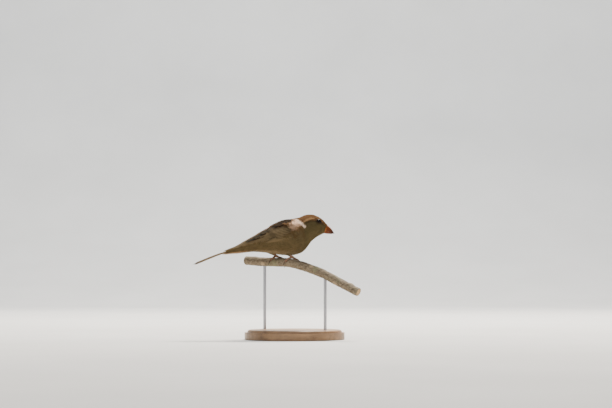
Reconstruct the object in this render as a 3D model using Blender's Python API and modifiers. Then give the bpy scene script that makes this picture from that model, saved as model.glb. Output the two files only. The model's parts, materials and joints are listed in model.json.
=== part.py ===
"""House sparrow, a female at life size, leaning forward on a cut length of branch above a plain display stand.

Units are metres, +Z is up, and the bird looks along +X. The origin is the middle of the stand's underside.
The bird is first worked out straight, in its own frame: x forward, y to its left, z up, with the origin at the
perch between its feet. `settle` then turns the head, swings the body and carries it to its place on the stand.
"""

import math

import bmesh
import bpy
import numpy as np
from mathutils import Vector

MM = 0.001
GAP = 0.3 * MM  # clearance between neighbouring pieces

# Placing: the body is swung a little to its left, and the head turns back to look along +X.
BODY_SWING = math.radians(13)
HEAD_TURN = -BODY_SWING
NECK_PIVOT = 14 * MM
FEET = Vector((-8 * MM, 4.6 * MM, 75 * MM))  # where the bird's own origin stands over the stand

# The body, from the bill's base to the tail's end. Each station is a leaning oval section:
# (top x, top z, bottom x, bottom z, half width, fullness below), in millimetres.
STATIONS = {
    "bill_base": (37.4, 32.0, 34.2, 22.5, 4.3, 0.00),
    "lores": (34.6, 35.2, 30.0, 20.3, 7.6, 0.06),
    "eyes": (30.4, 38.2, 26.2, 17.6, 9.8, 0.12),
    "crown": (24.5, 40.3, 23.4, 15.0, 11.0, 0.14),
    "hind_crown": (18.2, 39.9, 21.2, 11.9, 11.9, 0.12),
    "nape": (12.6, 37.6, 18.4, 8.2, 13.2, 0.08),
    "shoulders": (6.0, 36.2, 14.2, 4.9, 15.0, 0.04),
    "breast": (-2.0, 33.8, 7.5, 2.9, 16.3, 0.02),
    "belly": (-11.0, 29.3, -2.0, 2.9, 16.4, 0.00),
    "flanks": (-20.0, 24.4, -13.0, 4.3, 14.6, -0.04),
    "loins": (-29.0, 19.2, -24.0, 5.6, 11.6, -0.06),
    "rump": (-37.0, 15.0, -34.5, 5.4, 8.7, -0.04),
    "tail_base": (-45.0, 11.3, -44.6, 4.2, 6.5, 0.00),
    "coverts": (-54.0, 7.7, -54.8, 3.5, 6.2, 0.00),
    "mid_tail": (-66.0, 2.9, -66.5, 1.4, 7.0, 0.00),
    "tail_end": (-87.0, -5.5, -87.3, -6.6, 8.6, 0.00),
}
STATION = {name: float(i) for i, name in enumerate(STATIONS)}
HEAD_END = STATION["hind_crown"] + 0.3
NECK_END = STATION["nape"] + 0.7
TURN_REACH = (STATION["crown"] + 0.7, STATION["shoulders"] + 0.3)  # the head's turn dies away between these
TRUNK_END = STATION["tail_base"]
CUT = 0.06  # share of a station left out at a cut, which gives GAP at the section's nearer edge
RINGS_PER_STATION = 3
SHORTEST_RINGS = 6
SECTION_SIDES = 24
TAIL_NOTCH = 2.6 * MM

# Wings: a folded wing is a patch that lies on the body, from the bend to the tip.
WING_REACH = (STATION["shoulders"] - 0.15, STATION["coverts"] + 0.42)
# (share of the length, upper edge and lower edge in degrees from the back's ridge, thickness in mm)
WING_OUTLINE = [
    (0.00, 52, 78, 0.7),
    (0.06, 40, 87, 1.3),
    (0.20, 27, 91, 2.0),
    (0.45, 12, 92, 2.2),
    (0.65, 7, 90, 2.0),
    (0.80, 9, 86, 1.6),
    (0.92, 18, 80, 1.1),
    (1.00, 38, 62, 0.7),
]
WING_EDGE = 0.55 * MM
WING_RINGS = 22
WING_STRIPS = 8

# Bill: the ridge, the meeting line of the two halves and the underside, as (x, z) in mm from base to tip.
RIDGE = [(37.7, 31.4), (40.4, 29.3), (42.7, 26.5), (44.2, 24.1), (44.9, 22.6)]
BITE = [(35.7, 26.0), (37.8, 25.1), (40.4, 24.2), (43.2, 23.2), (44.9, 22.5)]
UNDERSIDE = [(34.8, 22.9), (36.9, 22.4), (39.3, 22.2), (41.9, 22.2), (44.0, 22.7)]
BILL_HALF_WIDTHS = [3.9, 3.2, 2.3, 1.25, 0.22]
BILL_RINGS = 11
BILL_ARC_POINTS = 9
BILL_ROUNDING = 0.8  # under 1 makes the bill's sides fuller than an oval's
BILL_THINNEST = 0.12 * MM

EYE = Vector((30.3 * MM, 5.8 * MM, 33.2 * MM))
EYE_RADIUS = 2.6 * MM

# Perch: a cut length of branch whose low end comes round to the bird's right, as (x, height) in mm.
PERCH_LINE = [
    (-38, -2.0), (-22, -3.2), (-8, -3.9), (4, -4.6),
    (19, -8.8), (35, -15.2), (50, -23.0), (66, -31.4),
]
PERCH_TURN = math.radians(30)
PERCH_RADIUS = 4.15 * MM
PERCH_TAPER = 0.06  # share of its thickness that it loses towards the low end
PERCH_SIDES = 16
PERCH_RINGS = 26

# Feet: distance of each from the bird's origin along the perch, and the heel that each leg runs up to.
FOOT_STEP = {"left": -10.5 * MM, "right": 6 * MM}
LEG_LEAVES = {"left": Vector((-21, 7.0, 9.5)) * MM, "right": Vector((-9, -6.6, 9)) * MM}
# toe: (length, start and end radius in mm, degrees it fans out from the middle toe, which way over the perch)
TOES = {
    "inner": (8.8, 0.80, 0.62, -23, 1),
    "middle": (12.2, 0.85, 0.64, 0, 1),
    "outer": (9.4, 0.76, 0.58, 23, 1),
    "hind": (7.8, 0.92, 0.70, 0, -1),
}
TOE_SLANT = 27  # degrees of the middle toe off the square across the perch
CLAW_LENGTH = {"inner": 4.0, "middle": 4.6, "outer": 3.9, "hind": 5.6}
CLAW_ROOT = 0.52 * MM
CLAW_TIP = 0.14 * MM
CLAW_ARCH = 0.55 * MM
CLAW_RINGS = 6
TOE_RINGS = 9
PAD_RADIUS = 1.3 * MM
SHANK_RADIUS = 1.05 * MM

# Stand
BASE_RADIUS = 46 * MM
BASE_HEIGHT = 9 * MM
BASE_STEP = 2.4 * MM
BASE_SIDES = 56
ROD_RADIUS = 1.4 * MM
ROD_ALONG = {"1": -20 * MM, "2": 36 * MM}
ROD_INTO_PERCH = 2.6 * MM  # above the branch's lowest line
ROD_INTO_BASE = 5 * MM

COLOURS = {
    "plumage_head": ((0.36, 0.27, 0.17), 0.85, 0.0),
    "plumage_body": ((0.42, 0.35, 0.24), 0.85, 0.0),
    "plumage_wing": ((0.25, 0.18, 0.12), 0.80, 0.0),
    "plumage_tail": ((0.17, 0.13, 0.10), 0.80, 0.0),
    "bill": ((0.62, 0.30, 0.17), 0.35, 0.0),
    "eye": ((0.02, 0.015, 0.01), 0.05, 0.0),
    "leg": ((0.45, 0.28, 0.21), 0.50, 0.0),
    "claw": ((0.16, 0.11, 0.09), 0.40, 0.0),
    "bark": ((0.24, 0.20, 0.15), 0.90, 0.0),
    "stand_wood": ((0.50, 0.37, 0.24), 0.45, 0.0),
    "stand_steel": ((0.60, 0.60, 0.62), 0.30, 1.0),
}


# ---------------------------------------------------------------- general helpers


def clear_scene():
    for obj in list(bpy.data.objects):
        bpy.data.objects.remove(obj, do_unlink=True)


def collection(name):
    made = bpy.data.collections.new(name)
    bpy.context.scene.collection.children.link(made)
    return made


def material(name):
    """A Principled material of the named colour, roughness and metallic value, made once."""
    if name in bpy.data.materials:
        return bpy.data.materials[name]
    colour, roughness, metallic = COLOURS[name]
    made = bpy.data.materials.new(name)
    made.use_nodes = True
    shader = made.node_tree.nodes["Principled BSDF"]
    shader.inputs["Base Color"].default_value = (*colour, 1)
    shader.inputs["Roughness"].default_value = roughness
    shader.inputs["Metallic"].default_value = metallic
    return made


def add(mesh, name, home, finish):
    obj = bpy.data.objects.new(name, mesh)
    home.objects.link(obj)
    if finish:
        mesh.materials.clear()
        mesh.materials.append(material(finish))
    return obj


def through(table, at):
    """Rows of a table read at any place between them, on a Catmull-Rom curve that passes through each row."""
    table = np.asarray(table, float)
    at = np.clip(np.asarray(at, float), 0, len(table) - 1)
    padded = np.vstack([2 * table[0] - table[1], table, 2 * table[-1] - table[-2]])
    first = np.minimum(at.astype(int), len(table) - 2)
    t = (at - first)[..., None]
    a, b, c, d = (padded[first + k] for k in range(4))
    bend, twist = 2 * a - 5 * b + 4 * c - d, 3 * b - a - 3 * c + d
    return 0.5 * (2 * b + (c - a) * t + bend * t**2 + twist * t**3)


def loft(rings, name, home, finish):
    """A closed solid through rings, an array of (ring, point, xyz), with a flat cap at each end."""
    count, sides = rings.shape[:2]
    mesh = bmesh.new()
    verts = [[mesh.verts.new(p) for p in ring] for ring in rings]
    for near, far in zip(verts, verts[1:]):
        for i in range(sides):
            j = (i + 1) % sides
            mesh.faces.new((near[i], near[j], far[j], far[i]))
    mesh.faces.new(verts[0][::-1])
    mesh.faces.new(verts[count - 1])
    bmesh.ops.recalc_face_normals(mesh, faces=mesh.faces)
    made = bpy.data.meshes.new(name)
    mesh.to_mesh(made)
    mesh.free()
    made.shade_smooth()
    made.set_sharp_from_angle(angle=math.radians(50))
    return add(made, name, home, finish)


def tube(points, radii, name, home, finish, sides=8):
    """A round tube along points, with a radius at each: a bevelled curve turned into a closed mesh."""
    curve = bpy.data.curves.new(name, "CURVE")
    curve.dimensions = "3D"
    curve.bevel_depth = 1.0
    curve.bevel_resolution = sides // 2 - 2
    curve.use_fill_caps = True
    curve.use_radius = True
    spline = curve.splines.new("POLY")
    spline.points.add(len(points) - 1)
    for knot, place, radius in zip(spline.points, points, radii):
        knot.co = (*place, 1)
        knot.radius = radius
    drawn = add(curve, name, home, None)
    bpy.context.view_layer.update()
    evaluated = drawn.evaluated_get(bpy.context.evaluated_depsgraph_get())
    made = bpy.data.meshes.new_from_object(evaluated)
    bpy.data.objects.remove(drawn)
    welder = bmesh.new()
    welder.from_mesh(made)
    bmesh.ops.remove_doubles(welder, verts=welder.verts, dist=1e-6)
    bmesh.ops.recalc_face_normals(welder, faces=welder.faces)
    welder.to_mesh(made)
    welder.free()
    made.shade_smooth()
    made.set_sharp_from_angle(angle=math.radians(50))
    return add(made, name, home, finish)


def ball(centre, radius, name, home, finish, segments=16):
    shape = bmesh.new()
    bmesh.ops.create_uvsphere(shape, u_segments=segments, v_segments=segments // 2, radius=radius)
    bmesh.ops.translate(shape, verts=shape.verts, vec=centre)
    made = bpy.data.meshes.new(name)
    shape.to_mesh(made)
    shape.free()
    made.shade_smooth()
    return add(made, name, home, finish)


def rod(bottom, top, radius, name, home, finish):
    """An upright cylinder from a point to one above it."""
    shape = bmesh.new()
    height = top.z - bottom.z
    bmesh.ops.create_cone(shape, cap_ends=True, segments=20, radius1=radius, radius2=radius, depth=height)
    bmesh.ops.translate(shape, verts=shape.verts, vec=bottom + Vector((0, 0, height / 2)))
    made = bpy.data.meshes.new(name)
    shape.to_mesh(made)
    shape.free()
    made.shade_smooth()
    made.set_sharp_from_angle(angle=math.radians(50))
    return add(made, name, home, finish)


def boolean(obj, other, operation):
    step = obj.modifiers.new(f"{operation.lower()} {other.name}", "BOOLEAN")
    step.operation = operation
    step.object = other
    other.hide_render = True
    other.display_type = "WIRE"


# ---------------------------------------------------------------- the bird's form


def smooth_step(t):
    t = np.clip(t, 0, 1)
    return t * t * (3 - 2 * t)


def spun(points, angle, pivot_x=0.0):
    """Points turned about an upright line at (pivot_x, 0). The angle may differ from point to point."""
    x, y = points[..., 0] - pivot_x, points[..., 1]
    c, s = np.cos(angle), np.sin(angle)
    return np.stack([pivot_x + c * x - s * y, s * x + c * y, points[..., 2]], axis=-1)


def settle(points, station):
    """The bird's own frame to the world: its head turns, its body swings, and it is set above the stand."""
    share = 1 - smooth_step((station - TURN_REACH[0]) / (TURN_REACH[1] - TURN_REACH[0]))
    turned = spun(np.asarray(points, float), HEAD_TURN * share, NECK_PIVOT)
    return spun(turned, BODY_SWING) + np.array(FEET)


def body_surface(station, angle, grow=0.0):
    """Points of the body's skin line: an oval across each station, the angle running from the ridge to the left."""
    row = through(list(STATIONS.values()), station) * np.array([MM] * 5 + [1])
    top, bottom = row[..., 0:2], row[..., 2:4]
    half = np.linalg.norm(top - bottom, axis=-1) / 2
    up = (top - bottom) / (2 * half[..., None])
    rise = (half + grow) * np.cos(angle)
    side = (row[..., 4] + grow) * np.sin(angle) * (1 - row[..., 5] * np.cos(angle))
    middle = (top + bottom) / 2
    x = middle[..., 0] + up[..., 0] * rise
    z = middle[..., 1] + up[..., 1] * rise
    past_mid_tail = np.clip(station - STATION["mid_tail"], 0, 1)
    x = x + TAIL_NOTCH * past_mid_tail * (1 - np.abs(np.sin(angle)))
    return np.stack([x, side, z], axis=-1)


def body_piece(start, end, name, home, finish, grow=0.0):
    """A length of the body between two stations."""
    count = max(SHORTEST_RINGS, round((end - start) * RINGS_PER_STATION) + 1)
    station = np.linspace(start, end, count)[:, None]
    angle = np.linspace(0, 2 * math.pi, SECTION_SIDES, endpoint=False)[None, :]
    return loft(settle(body_surface(station, angle, grow), station), name, home, finish)


def outward(station, angle):
    """The body's outward direction at a place, from its slopes along and around."""
    step = 1e-3
    along = body_surface(station + step, angle) - body_surface(station - step, angle)
    around = body_surface(station, angle + step) - body_surface(station, angle - step)
    normal = np.cross(around, along)
    return normal / np.linalg.norm(normal, axis=-1, keepdims=True)


def make_head(home, cutters):
    head = body_piece(STATION["bill_base"], HEAD_END, "head", home, "plumage_head")
    for side, sign in (("left", 1), ("right", -1)):
        centre = Vector(settle([EYE.x, sign * EYE.y, EYE.z], STATION["eyes"]))
        ball(centre, EYE_RADIUS, f"eye_{side}", home, "eye")
        socket = ball(centre, EYE_RADIUS + GAP, f"cut_socket_{side}", cutters, None)
        boolean(head, socket, "DIFFERENCE")


def make_bill(home):
    """Two halves that meet along the bite line, each a row of half-oval sections that shrink to the tip."""
    rows = np.linspace(0, len(RIDGE) - 1, BILL_RINGS)
    bite = through(BITE, rows) * MM
    widths = through([[w] for w in BILL_HALF_WIDTHS], rows)[:, 0] * MM
    for name, edge, across in (("bill_upper", RIDGE, 1), ("bill_lower", UNDERSIDE, -1)):
        edge = through(edge, rows) * MM
        height = np.linalg.norm(edge - bite, axis=1)
        up = (edge - bite) / height[:, None]
        arc = np.linspace(0, math.pi, BILL_ARC_POINTS)
        middle = bite + up * (GAP / 2) + [GAP, 0]
        rise = np.maximum(height - GAP / 2, BILL_THINNEST)[:, None] * np.sin(arc) ** BILL_ROUNDING
        side = across * widths[:, None] * np.cos(arc)
        x, z = (middle[:, k : k + 1] + up[:, k : k + 1] * rise for k in (0, 1))
        rings = np.stack([x, side, z], axis=-1)
        loft(settle(rings, STATION["bill_base"]), name, home, "bill")


def make_wing(side, sign, home):
    """A closed patch over the flank, whose outer face follows the body at the wing's thickness."""
    outline = np.array(WING_OUTLINE, float)
    share = np.linspace(0, 1, WING_RINGS)
    upper, lower, thick = (np.interp(share, outline[:, 0], outline[:, k]) for k in (1, 2, 3))
    station = WING_REACH[0] + (WING_REACH[1] - WING_REACH[0]) * share
    across = np.linspace(0, 1, WING_STRIPS + 1)
    angle = np.radians(upper[:, None] + (lower - upper)[:, None] * across)
    rounding = 0.4 + 0.6 * np.sin(np.pi * across) ** 0.7
    lift = GAP + np.maximum((thick * MM)[:, None] * rounding, WING_EDGE)
    place = np.broadcast_to(station[:, None], angle.shape)
    skin, normal = body_surface(place, angle), outward(place, angle)
    outer = skin + normal * lift[..., None]
    inner = skin + normal * GAP
    rings = np.concatenate([outer, inner[:, ::-1]], axis=1)
    place_of_rings = station[:, None]
    loft(settle(rings * [1, sign, 1], place_of_rings), f"wing_{side}", home, "plumage_wing")


# ---------------------------------------------------------------- perch, legs and stand


def perch_point(along):
    """A point of the branch's middle line at a distance along x, with the depth that its turn gives."""
    line = np.array(PERCH_LINE, float) * MM
    place = np.interp(along, line[:, 0], np.arange(len(line)))
    x, z = through(line, place).T
    return np.stack([x, -x * math.tan(PERCH_TURN), z], axis=-1)


def perch_axes(along):
    """Origin, direction, up and far side of the branch at a distance along x."""
    step = 0.2 * MM
    origin = perch_point(np.array([along]))[0]
    ends = perch_point(np.array([along - step, along + step]))
    forward = (ends[1] - ends[0]) / np.linalg.norm(ends[1] - ends[0])
    far = np.cross([0, 0, 1], forward)
    far /= np.linalg.norm(far)
    return origin, forward, np.cross(forward, far), far


def make_perch(home, cutters):
    along = np.linspace(PERCH_LINE[0][0], PERCH_LINE[-1][0], PERCH_RINGS) * MM
    low_end = (along - FOOT_STEP["right"]) / (along[-1] - FOOT_STEP["right"])
    radii = PERCH_RADIUS * (1 - PERCH_TAPER * smooth_step(low_end))
    line = perch_point(along) + np.array(FEET)
    branch = tube(line, radii, "perch_branch", home, "bark", PERCH_SIDES)
    for number, place in ROD_ALONG.items():
        foot = Vector(perch_point(np.array([place]))[0]) + FEET
        top = Vector((foot.x, foot.y, foot.z - PERCH_RADIUS + ROD_INTO_PERCH))
        hole_top = top + Vector((0, 0, GAP))
        below = Vector((foot.x, foot.y, foot.z - 2 * PERCH_RADIUS))
        hole = rod(below, hole_top, ROD_RADIUS + GAP, f"cut_perch_{number}", cutters, None)
        boolean(branch, hole, "DIFFERENCE")
        bottom = Vector((foot.x, foot.y, BASE_HEIGHT - ROD_INTO_BASE + GAP))
        rod(bottom, top, ROD_RADIUS, f"stand_rod_{number}", home, "stand_steel")


def toe_line(side, kind, start, reach, count, arch=0.0):
    """Points and radii of a toe or claw: round the branch and along it, at a slant, from start to reach."""
    _, thick, thin, fan, over = TOES[kind]
    step = FOOT_STEP[side] * math.cos(PERCH_TURN)
    distance = np.linspace(start, reach, count)
    share = (distance - start) / (reach - start)
    radius = np.interp(distance, [0, TOES[kind][0] * MM], [thick * MM, thin * MM])
    off = PERCH_RADIUS + GAP + radius + arch * np.sin(np.pi * share)
    slant = math.radians(TOE_SLANT + (fan if side == "right" else -fan))
    points = []
    for d, r in zip(distance, off):
        origin, _, up, far = perch_axes(step + over * d * math.sin(slant) * math.cos(PERCH_TURN))
        turn = over * d * math.cos(slant) / (PERCH_RADIUS + GAP + thick * MM)
        points.append(origin + r * (math.cos(turn) * up + math.sin(turn) * far))
    return np.array(points) + np.array(FEET), radius


def make_leg(side, home, cutters, body_cutter):
    """Shank, pad and four toes in one solid, with a claw on the end of each toe."""
    origin, _, up, _ = perch_axes(FOOT_STEP[side] * math.cos(PERCH_TURN))
    pad_at = origin + up * (PERCH_RADIUS + GAP + PAD_RADIUS) + np.array(FEET)
    leaves = settle(list(LEG_LEAVES[side]), STATION["belly"])
    shank = tube(
        np.linspace(pad_at, leaves, 6), np.full(6, SHANK_RADIUS), f"leg_{side}", home, "leg"
    )
    boolean(shank, ball(Vector(pad_at), PAD_RADIUS, f"add_pad_{side}", cutters, None, 12), "UNION")
    for kind, (length, _, _, _, _) in TOES.items():
        points, radius = toe_line(side, kind, 0, length * MM, TOE_RINGS)
        boolean(shank, tube(points, radius, f"add_toe_{side}_{kind}", cutters, None), "UNION")
        root, tip = length * MM + GAP, (length + CLAW_LENGTH[kind]) * MM
        points, _ = toe_line(side, kind, root, tip, CLAW_RINGS, CLAW_ARCH)
        tube(points, np.linspace(CLAW_ROOT, CLAW_TIP, CLAW_RINGS), f"claw_{side}_{kind}", home, "claw")
    boolean(shank, body_cutter, "DIFFERENCE")


def make_base(home, cutters):
    """A turned disc: a flat top, a rounded shoulder, a step and a straight rim."""
    shoulder = BASE_RADIUS - BASE_STEP
    round_over = [
        (shoulder - BASE_STEP * (1 - math.sin(a)), BASE_HEIGHT - BASE_STEP * (1 - math.cos(a)))
        for a in np.linspace(0, math.pi / 2, 6)
    ]
    rim = [(BASE_RADIUS, BASE_HEIGHT - BASE_STEP), (BASE_RADIUS, 0.6 * MM), (BASE_RADIUS - 0.6 * MM, 0)]
    profile = [(0, BASE_HEIGHT), *round_over, *rim, (0, 0)]
    mesh = bpy.data.meshes.new("stand_base")
    edges = [(i, i + 1) for i in range(len(profile) - 1)]
    mesh.from_pydata([(r, 0, z) for r, z in profile], edges, [])
    base = add(mesh, "stand_base", home, "stand_wood")
    turn = base.modifiers.new("turn", "SCREW")
    turn.axis = "Z"
    turn.steps = turn.render_steps = BASE_SIDES
    turn.use_merge_vertices = True
    turn.merge_threshold = 0.00001
    turn.use_smooth_shade = False
    for number, place in ROD_ALONG.items():
        foot = Vector(perch_point(np.array([place]))[0]) + FEET
        low = Vector((foot.x, foot.y, BASE_HEIGHT - ROD_INTO_BASE))
        high = Vector((foot.x, foot.y, BASE_HEIGHT * 2))
        boolean(base, rod(low, high, ROD_RADIUS + GAP, f"cut_base_{number}", cutters, None), "DIFFERENCE")


def main():
    clear_scene()
    home = collection("house_sparrow")
    cutters = collection("cutters")
    make_head(home, cutters)
    make_bill(home)
    body_piece(HEAD_END + CUT, NECK_END, "neck", home, "plumage_body")
    body_piece(NECK_END + CUT, TRUNK_END, "trunk", home, "plumage_body")
    body_piece(TRUNK_END + CUT, STATION["tail_end"], "tail", home, "plumage_tail")
    body_cutter = body_piece(NECK_END - 1, TRUNK_END, "cut_body", cutters, None, GAP)
    for side, sign in (("left", 1), ("right", -1)):
        make_wing(side, sign, home)
        make_leg(side, home, cutters, body_cutter)
    make_perch(home, cutters)
    make_base(home, cutters)


main()
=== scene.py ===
"""A life-size house sparrow on a cut length of branch, with its display stand and a plain studio.

The bird is worked out straight, on a chart of its body: u runs from the bill's base (0) to the tail's end
(15), and v is the angle round the body from the ridge of the back, in radians, positive to the bird's left.
`settle` then turns the head and swings the body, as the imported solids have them. Lengths are in metres,
apart from the tables that say millimetres. Colours are display colours until `linear` turns them to light.
"""

import json
import math

import bpy
import numpy as np
from bpy.props import FloatProperty, FloatVectorProperty, IntProperty, PointerProperty
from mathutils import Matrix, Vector

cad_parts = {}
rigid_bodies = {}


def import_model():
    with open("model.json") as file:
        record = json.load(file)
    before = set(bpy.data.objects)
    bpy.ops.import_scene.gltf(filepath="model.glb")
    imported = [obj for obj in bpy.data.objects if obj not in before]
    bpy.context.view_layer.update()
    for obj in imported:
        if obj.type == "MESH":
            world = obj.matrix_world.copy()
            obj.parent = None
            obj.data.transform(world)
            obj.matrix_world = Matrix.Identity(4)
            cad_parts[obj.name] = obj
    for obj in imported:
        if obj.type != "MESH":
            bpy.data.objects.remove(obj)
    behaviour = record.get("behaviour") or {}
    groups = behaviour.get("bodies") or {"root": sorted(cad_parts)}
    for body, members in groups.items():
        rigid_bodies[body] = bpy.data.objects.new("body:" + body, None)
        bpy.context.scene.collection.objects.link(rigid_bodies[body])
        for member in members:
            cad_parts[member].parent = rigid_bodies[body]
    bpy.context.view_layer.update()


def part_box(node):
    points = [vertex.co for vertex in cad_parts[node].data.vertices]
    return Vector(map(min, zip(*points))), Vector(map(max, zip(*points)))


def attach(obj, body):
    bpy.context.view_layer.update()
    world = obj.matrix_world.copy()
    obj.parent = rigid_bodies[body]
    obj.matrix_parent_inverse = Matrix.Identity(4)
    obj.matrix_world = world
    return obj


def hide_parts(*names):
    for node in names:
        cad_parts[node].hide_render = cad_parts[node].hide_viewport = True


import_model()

bl_info = {
    "name": "House Sparrow Model",
    "version": (1, 0, 0),
    "blender": (4, 5, 0),
    "location": "3D View > Sidebar > Sparrow",
    "description": "Builds a feathered house sparrow on a branch, with its stand and studio",
    "category": "Add Mesh",
}

SIDES = {"left": 1, "right": -1}
MM = 0.001
TURN = 2 * math.pi
SEEDS = {"head": 11, "body": 12, "thighs": 15, "wings": 21, "tail": 31, "bristles": 41}

# ---------------- the bird's form, as in the solids

BODY_SWING = math.radians(13)
NECK_PIVOT = 14 * MM
FEET = np.array([-8, 4.6, 75]) * MM
# each leaning oval section's top x and z, bottom x and z and half width in millimetres, and its fullness
STATIONS = {
    "bill_base": (37.4, 32.0, 34.2, 22.5, 4.3, 0.00),
    "lores": (34.6, 35.2, 30.0, 20.3, 7.6, 0.06),
    "eyes": (30.4, 38.2, 26.2, 17.6, 9.8, 0.12),
    "crown": (24.5, 40.3, 23.4, 15.0, 11.0, 0.14),
    "hind_crown": (18.2, 39.9, 21.2, 11.9, 11.9, 0.12),
    "nape": (12.6, 37.6, 18.4, 8.2, 13.2, 0.08),
    "shoulders": (6.0, 36.2, 14.2, 4.9, 15.0, 0.04),
    "breast": (-2.0, 33.8, 7.5, 2.9, 16.3, 0.02),
    "belly": (-11.0, 29.3, -2.0, 2.9, 16.4, 0.00),
    "flanks": (-20.0, 24.4, -13.0, 4.3, 14.6, -0.04),
    "loins": (-29.0, 19.2, -24.0, 5.6, 11.6, -0.06),
    "rump": (-37.0, 15.0, -34.5, 5.4, 8.7, -0.04),
    "tail_base": (-45.0, 11.3, -44.6, 4.2, 6.5, 0.00),
    "coverts": (-54.0, 7.7, -54.8, 3.5, 6.2, 0.00),
    "mid_tail": (-66.0, 2.9, -66.5, 1.4, 7.0, 0.00),
    "tail_end": (-87.0, -5.5, -87.3, -6.6, 8.6, 0.00),
}
ROWS = np.array(list(STATIONS.values()))
BELLY = float(list(STATIONS).index("belly"))
TURN_REACH = (3.7, 6.3)  # stations between which the head's turn dies away
# stations, and how deep the skin lies under the coat at each, in millimetres
SKIN_DEPTH = ((0, 1.0, 2.0, 4.5, 6.5, 11, 13), (0.55, 0.8, 0.95, 1.4, 2.3, 2.2, 1.2))
SKIN_REACH = (0.0, 12.95)

EYE_RADIUS = 2.6 * MM
EYE_CLEAR = 2.42 * MM  # how near an eye's axis the head's feathers come
EYE_TOP = 0.76  # the opening's rise above its corners, as a share of its drop below them

WING_REACH = (5.85, 13.42)
# share of the length, upper and lower edge in degrees from the ridge, and thickness in millimetres
WING_OUTLINE = np.array([
    (0.00, 52, 78, 0.7), (0.06, 40, 87, 1.3), (0.20, 27, 91, 2.0), (0.45, 12, 92, 2.2),
    (0.65, 7, 90, 2.0), (0.80, 9, 86, 1.6), (0.92, 18, 80, 1.1), (1.00, 38, 62, 0.7),
])

PERCH_LINE = np.array([
    (-38, -2.0), (-22, -3.2), (-8, -3.9), (4, -4.6),
    (19, -8.8), (35, -15.2), (50, -23.0), (66, -31.4),
]) * MM
PERCH_TURN = math.radians(30)
PERCH_RADIUS = 4.15 * MM
PERCH_TAPER = 0.06
GAP = 0.3 * MM
FOOT_STEP = {"left": -10.5 * MM, "right": 6 * MM}
LEG_LEAVES = {"left": (-21, 7.0, 9.5), "right": (-9, -6.6, 9)}  # where each leg leaves the body, millimetres
TOES = {  # length, start and end radius (millimetres), degrees from the middle toe, way over the perch
    "inner": (8.8, 0.80, 0.62, -23, 1), "middle": (12.2, 0.85, 0.64, 0, 1),
    "outer": (9.4, 0.76, 0.58, 23, 1), "hind": (7.8, 0.92, 0.70, 0, -1),
}
TOE_SLANT = 27
TOE_SCUTE = 0.85 * MM
SHANK_SCUTE = 1.7 * MM
CLAW_LENGTH = {"inner": 4.0, "middle": 4.6, "outer": 3.9, "hind": 5.6}
CLAW_ARCH = 0.55 * MM
PAD_RADIUS = 1.3 * MM


def smooth_step(t):
    t = np.clip(t, 0, 1)
    return t * t * (3 - 2 * t)


def gate(value, start, end):
    """0 before start, 1 past end, and smooth between."""
    return smooth_step((value - start) / (end - start))


def span(value, start, full, ease, end):
    """1 from full to ease, 0 before start and past end, and smooth between."""
    return gate(value, start, full) * (1 - gate(value, ease, end))


def band(value, centre, half, soft):
    """1 inside a band, 0 outside it, with soft edges."""
    return smooth_step((half + soft / 2 - np.abs(value - centre)) / soft)


def bell(value, width):
    """A bump of height 1 round 0, that falls off as exp(-(value / width)^2)."""
    return np.exp(-((value / width) ** 2))


def mix(a, b, share):
    return a + (b - a) * share


def stacked(*parts):
    """Numbers or arrays side by side along a new last axis."""
    return np.stack(np.broadcast_arrays(*parts), axis=-1)


def crossed(first, second):
    """Every pair of two lines' values, as two grids."""
    return np.meshgrid(first, second, indexing="ij")


def each(values, axes=2):
    """One value per feather, made to spread over so many further axes."""
    return values.reshape(len(values), *(1,) * axes)


def through(table, at):
    """Rows of a table read at any place between them, on a Catmull-Rom curve through each row."""
    table = np.asarray(table, float)
    at = np.clip(np.asarray(at, float), 0, len(table) - 1)
    padded = np.vstack([2 * table[0] - table[1], table, 2 * table[-1] - table[-2]])
    first = np.minimum(at.astype(int), len(table) - 2)
    t = (at - first)[..., None]
    a, b, c, d = (padded[first + k] for k in range(4))
    bend, twist = 2 * a - 5 * b + 4 * c - d, 3 * b - a - 3 * c + d
    return 0.5 * (2 * b + (c - a) * t + bend * t**2 + twist * t**3)


def unit(vectors):
    return vectors / np.maximum(np.linalg.norm(vectors, axis=-1, keepdims=True), 1e-12)


def spun(points, angle, pivot_x=0.0):
    """Points turned about an upright line at (pivot_x, 0), each by its own angle."""
    x, y = points[..., 0] - pivot_x, points[..., 1]
    c, s = np.cos(angle), np.sin(angle)
    return stacked(pivot_x + c * x - s * y, s * x + c * y, points[..., 2])


def settle(points, station):
    """From the straight bird's frame to the model's: head turned, body swung, standing on the perch."""
    share = 1 - gate(station, *TURN_REACH)
    return spun(spun(np.asarray(points, float), -BODY_SWING * share, NECK_PIVOT), BODY_SWING) + FEET


def body_point(u, v):
    """The coat's outer surface: at station u an oval between top and bottom points, v round from the ridge.

    The oval's half height times cos v goes along its leaning axis, and its half width times sin v, made
    fuller towards the belly, goes sideways.
    """
    row = through(ROWS, u)
    top, bottom = row[..., 0:2] * MM, row[..., 2:4] * MM
    half = np.linalg.norm(top - bottom, axis=-1) / 2
    up = (top - bottom) / (2 * half[..., None])
    rise = half * np.cos(v)
    side = row[..., 4] * MM * np.sin(v) * (1 - row[..., 5] * np.cos(v))
    place = (top + bottom) / 2 + up * rise[..., None]
    return settle(stacked(place[..., 0], side, place[..., 1]), u)


def perch_point(along):
    """The branch's middle line: its height is a curve through PERCH_LINE, and its depth follows its turn."""
    x, z = through(PERCH_LINE, np.interp(along, PERCH_LINE[:, 0], np.arange(len(PERCH_LINE)))).T
    return stacked(x, -x * math.tan(PERCH_TURN), z)


def perch_axes(along):
    """Origin, direction, up and far side of the branch at each distance along x."""
    step = 0.2 * MM
    forward = unit(perch_point(along + step) - perch_point(along - step))
    far = unit(np.cross([0, 0, 1], forward))
    return perch_point(along), forward, np.cross(forward, far), far


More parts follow.
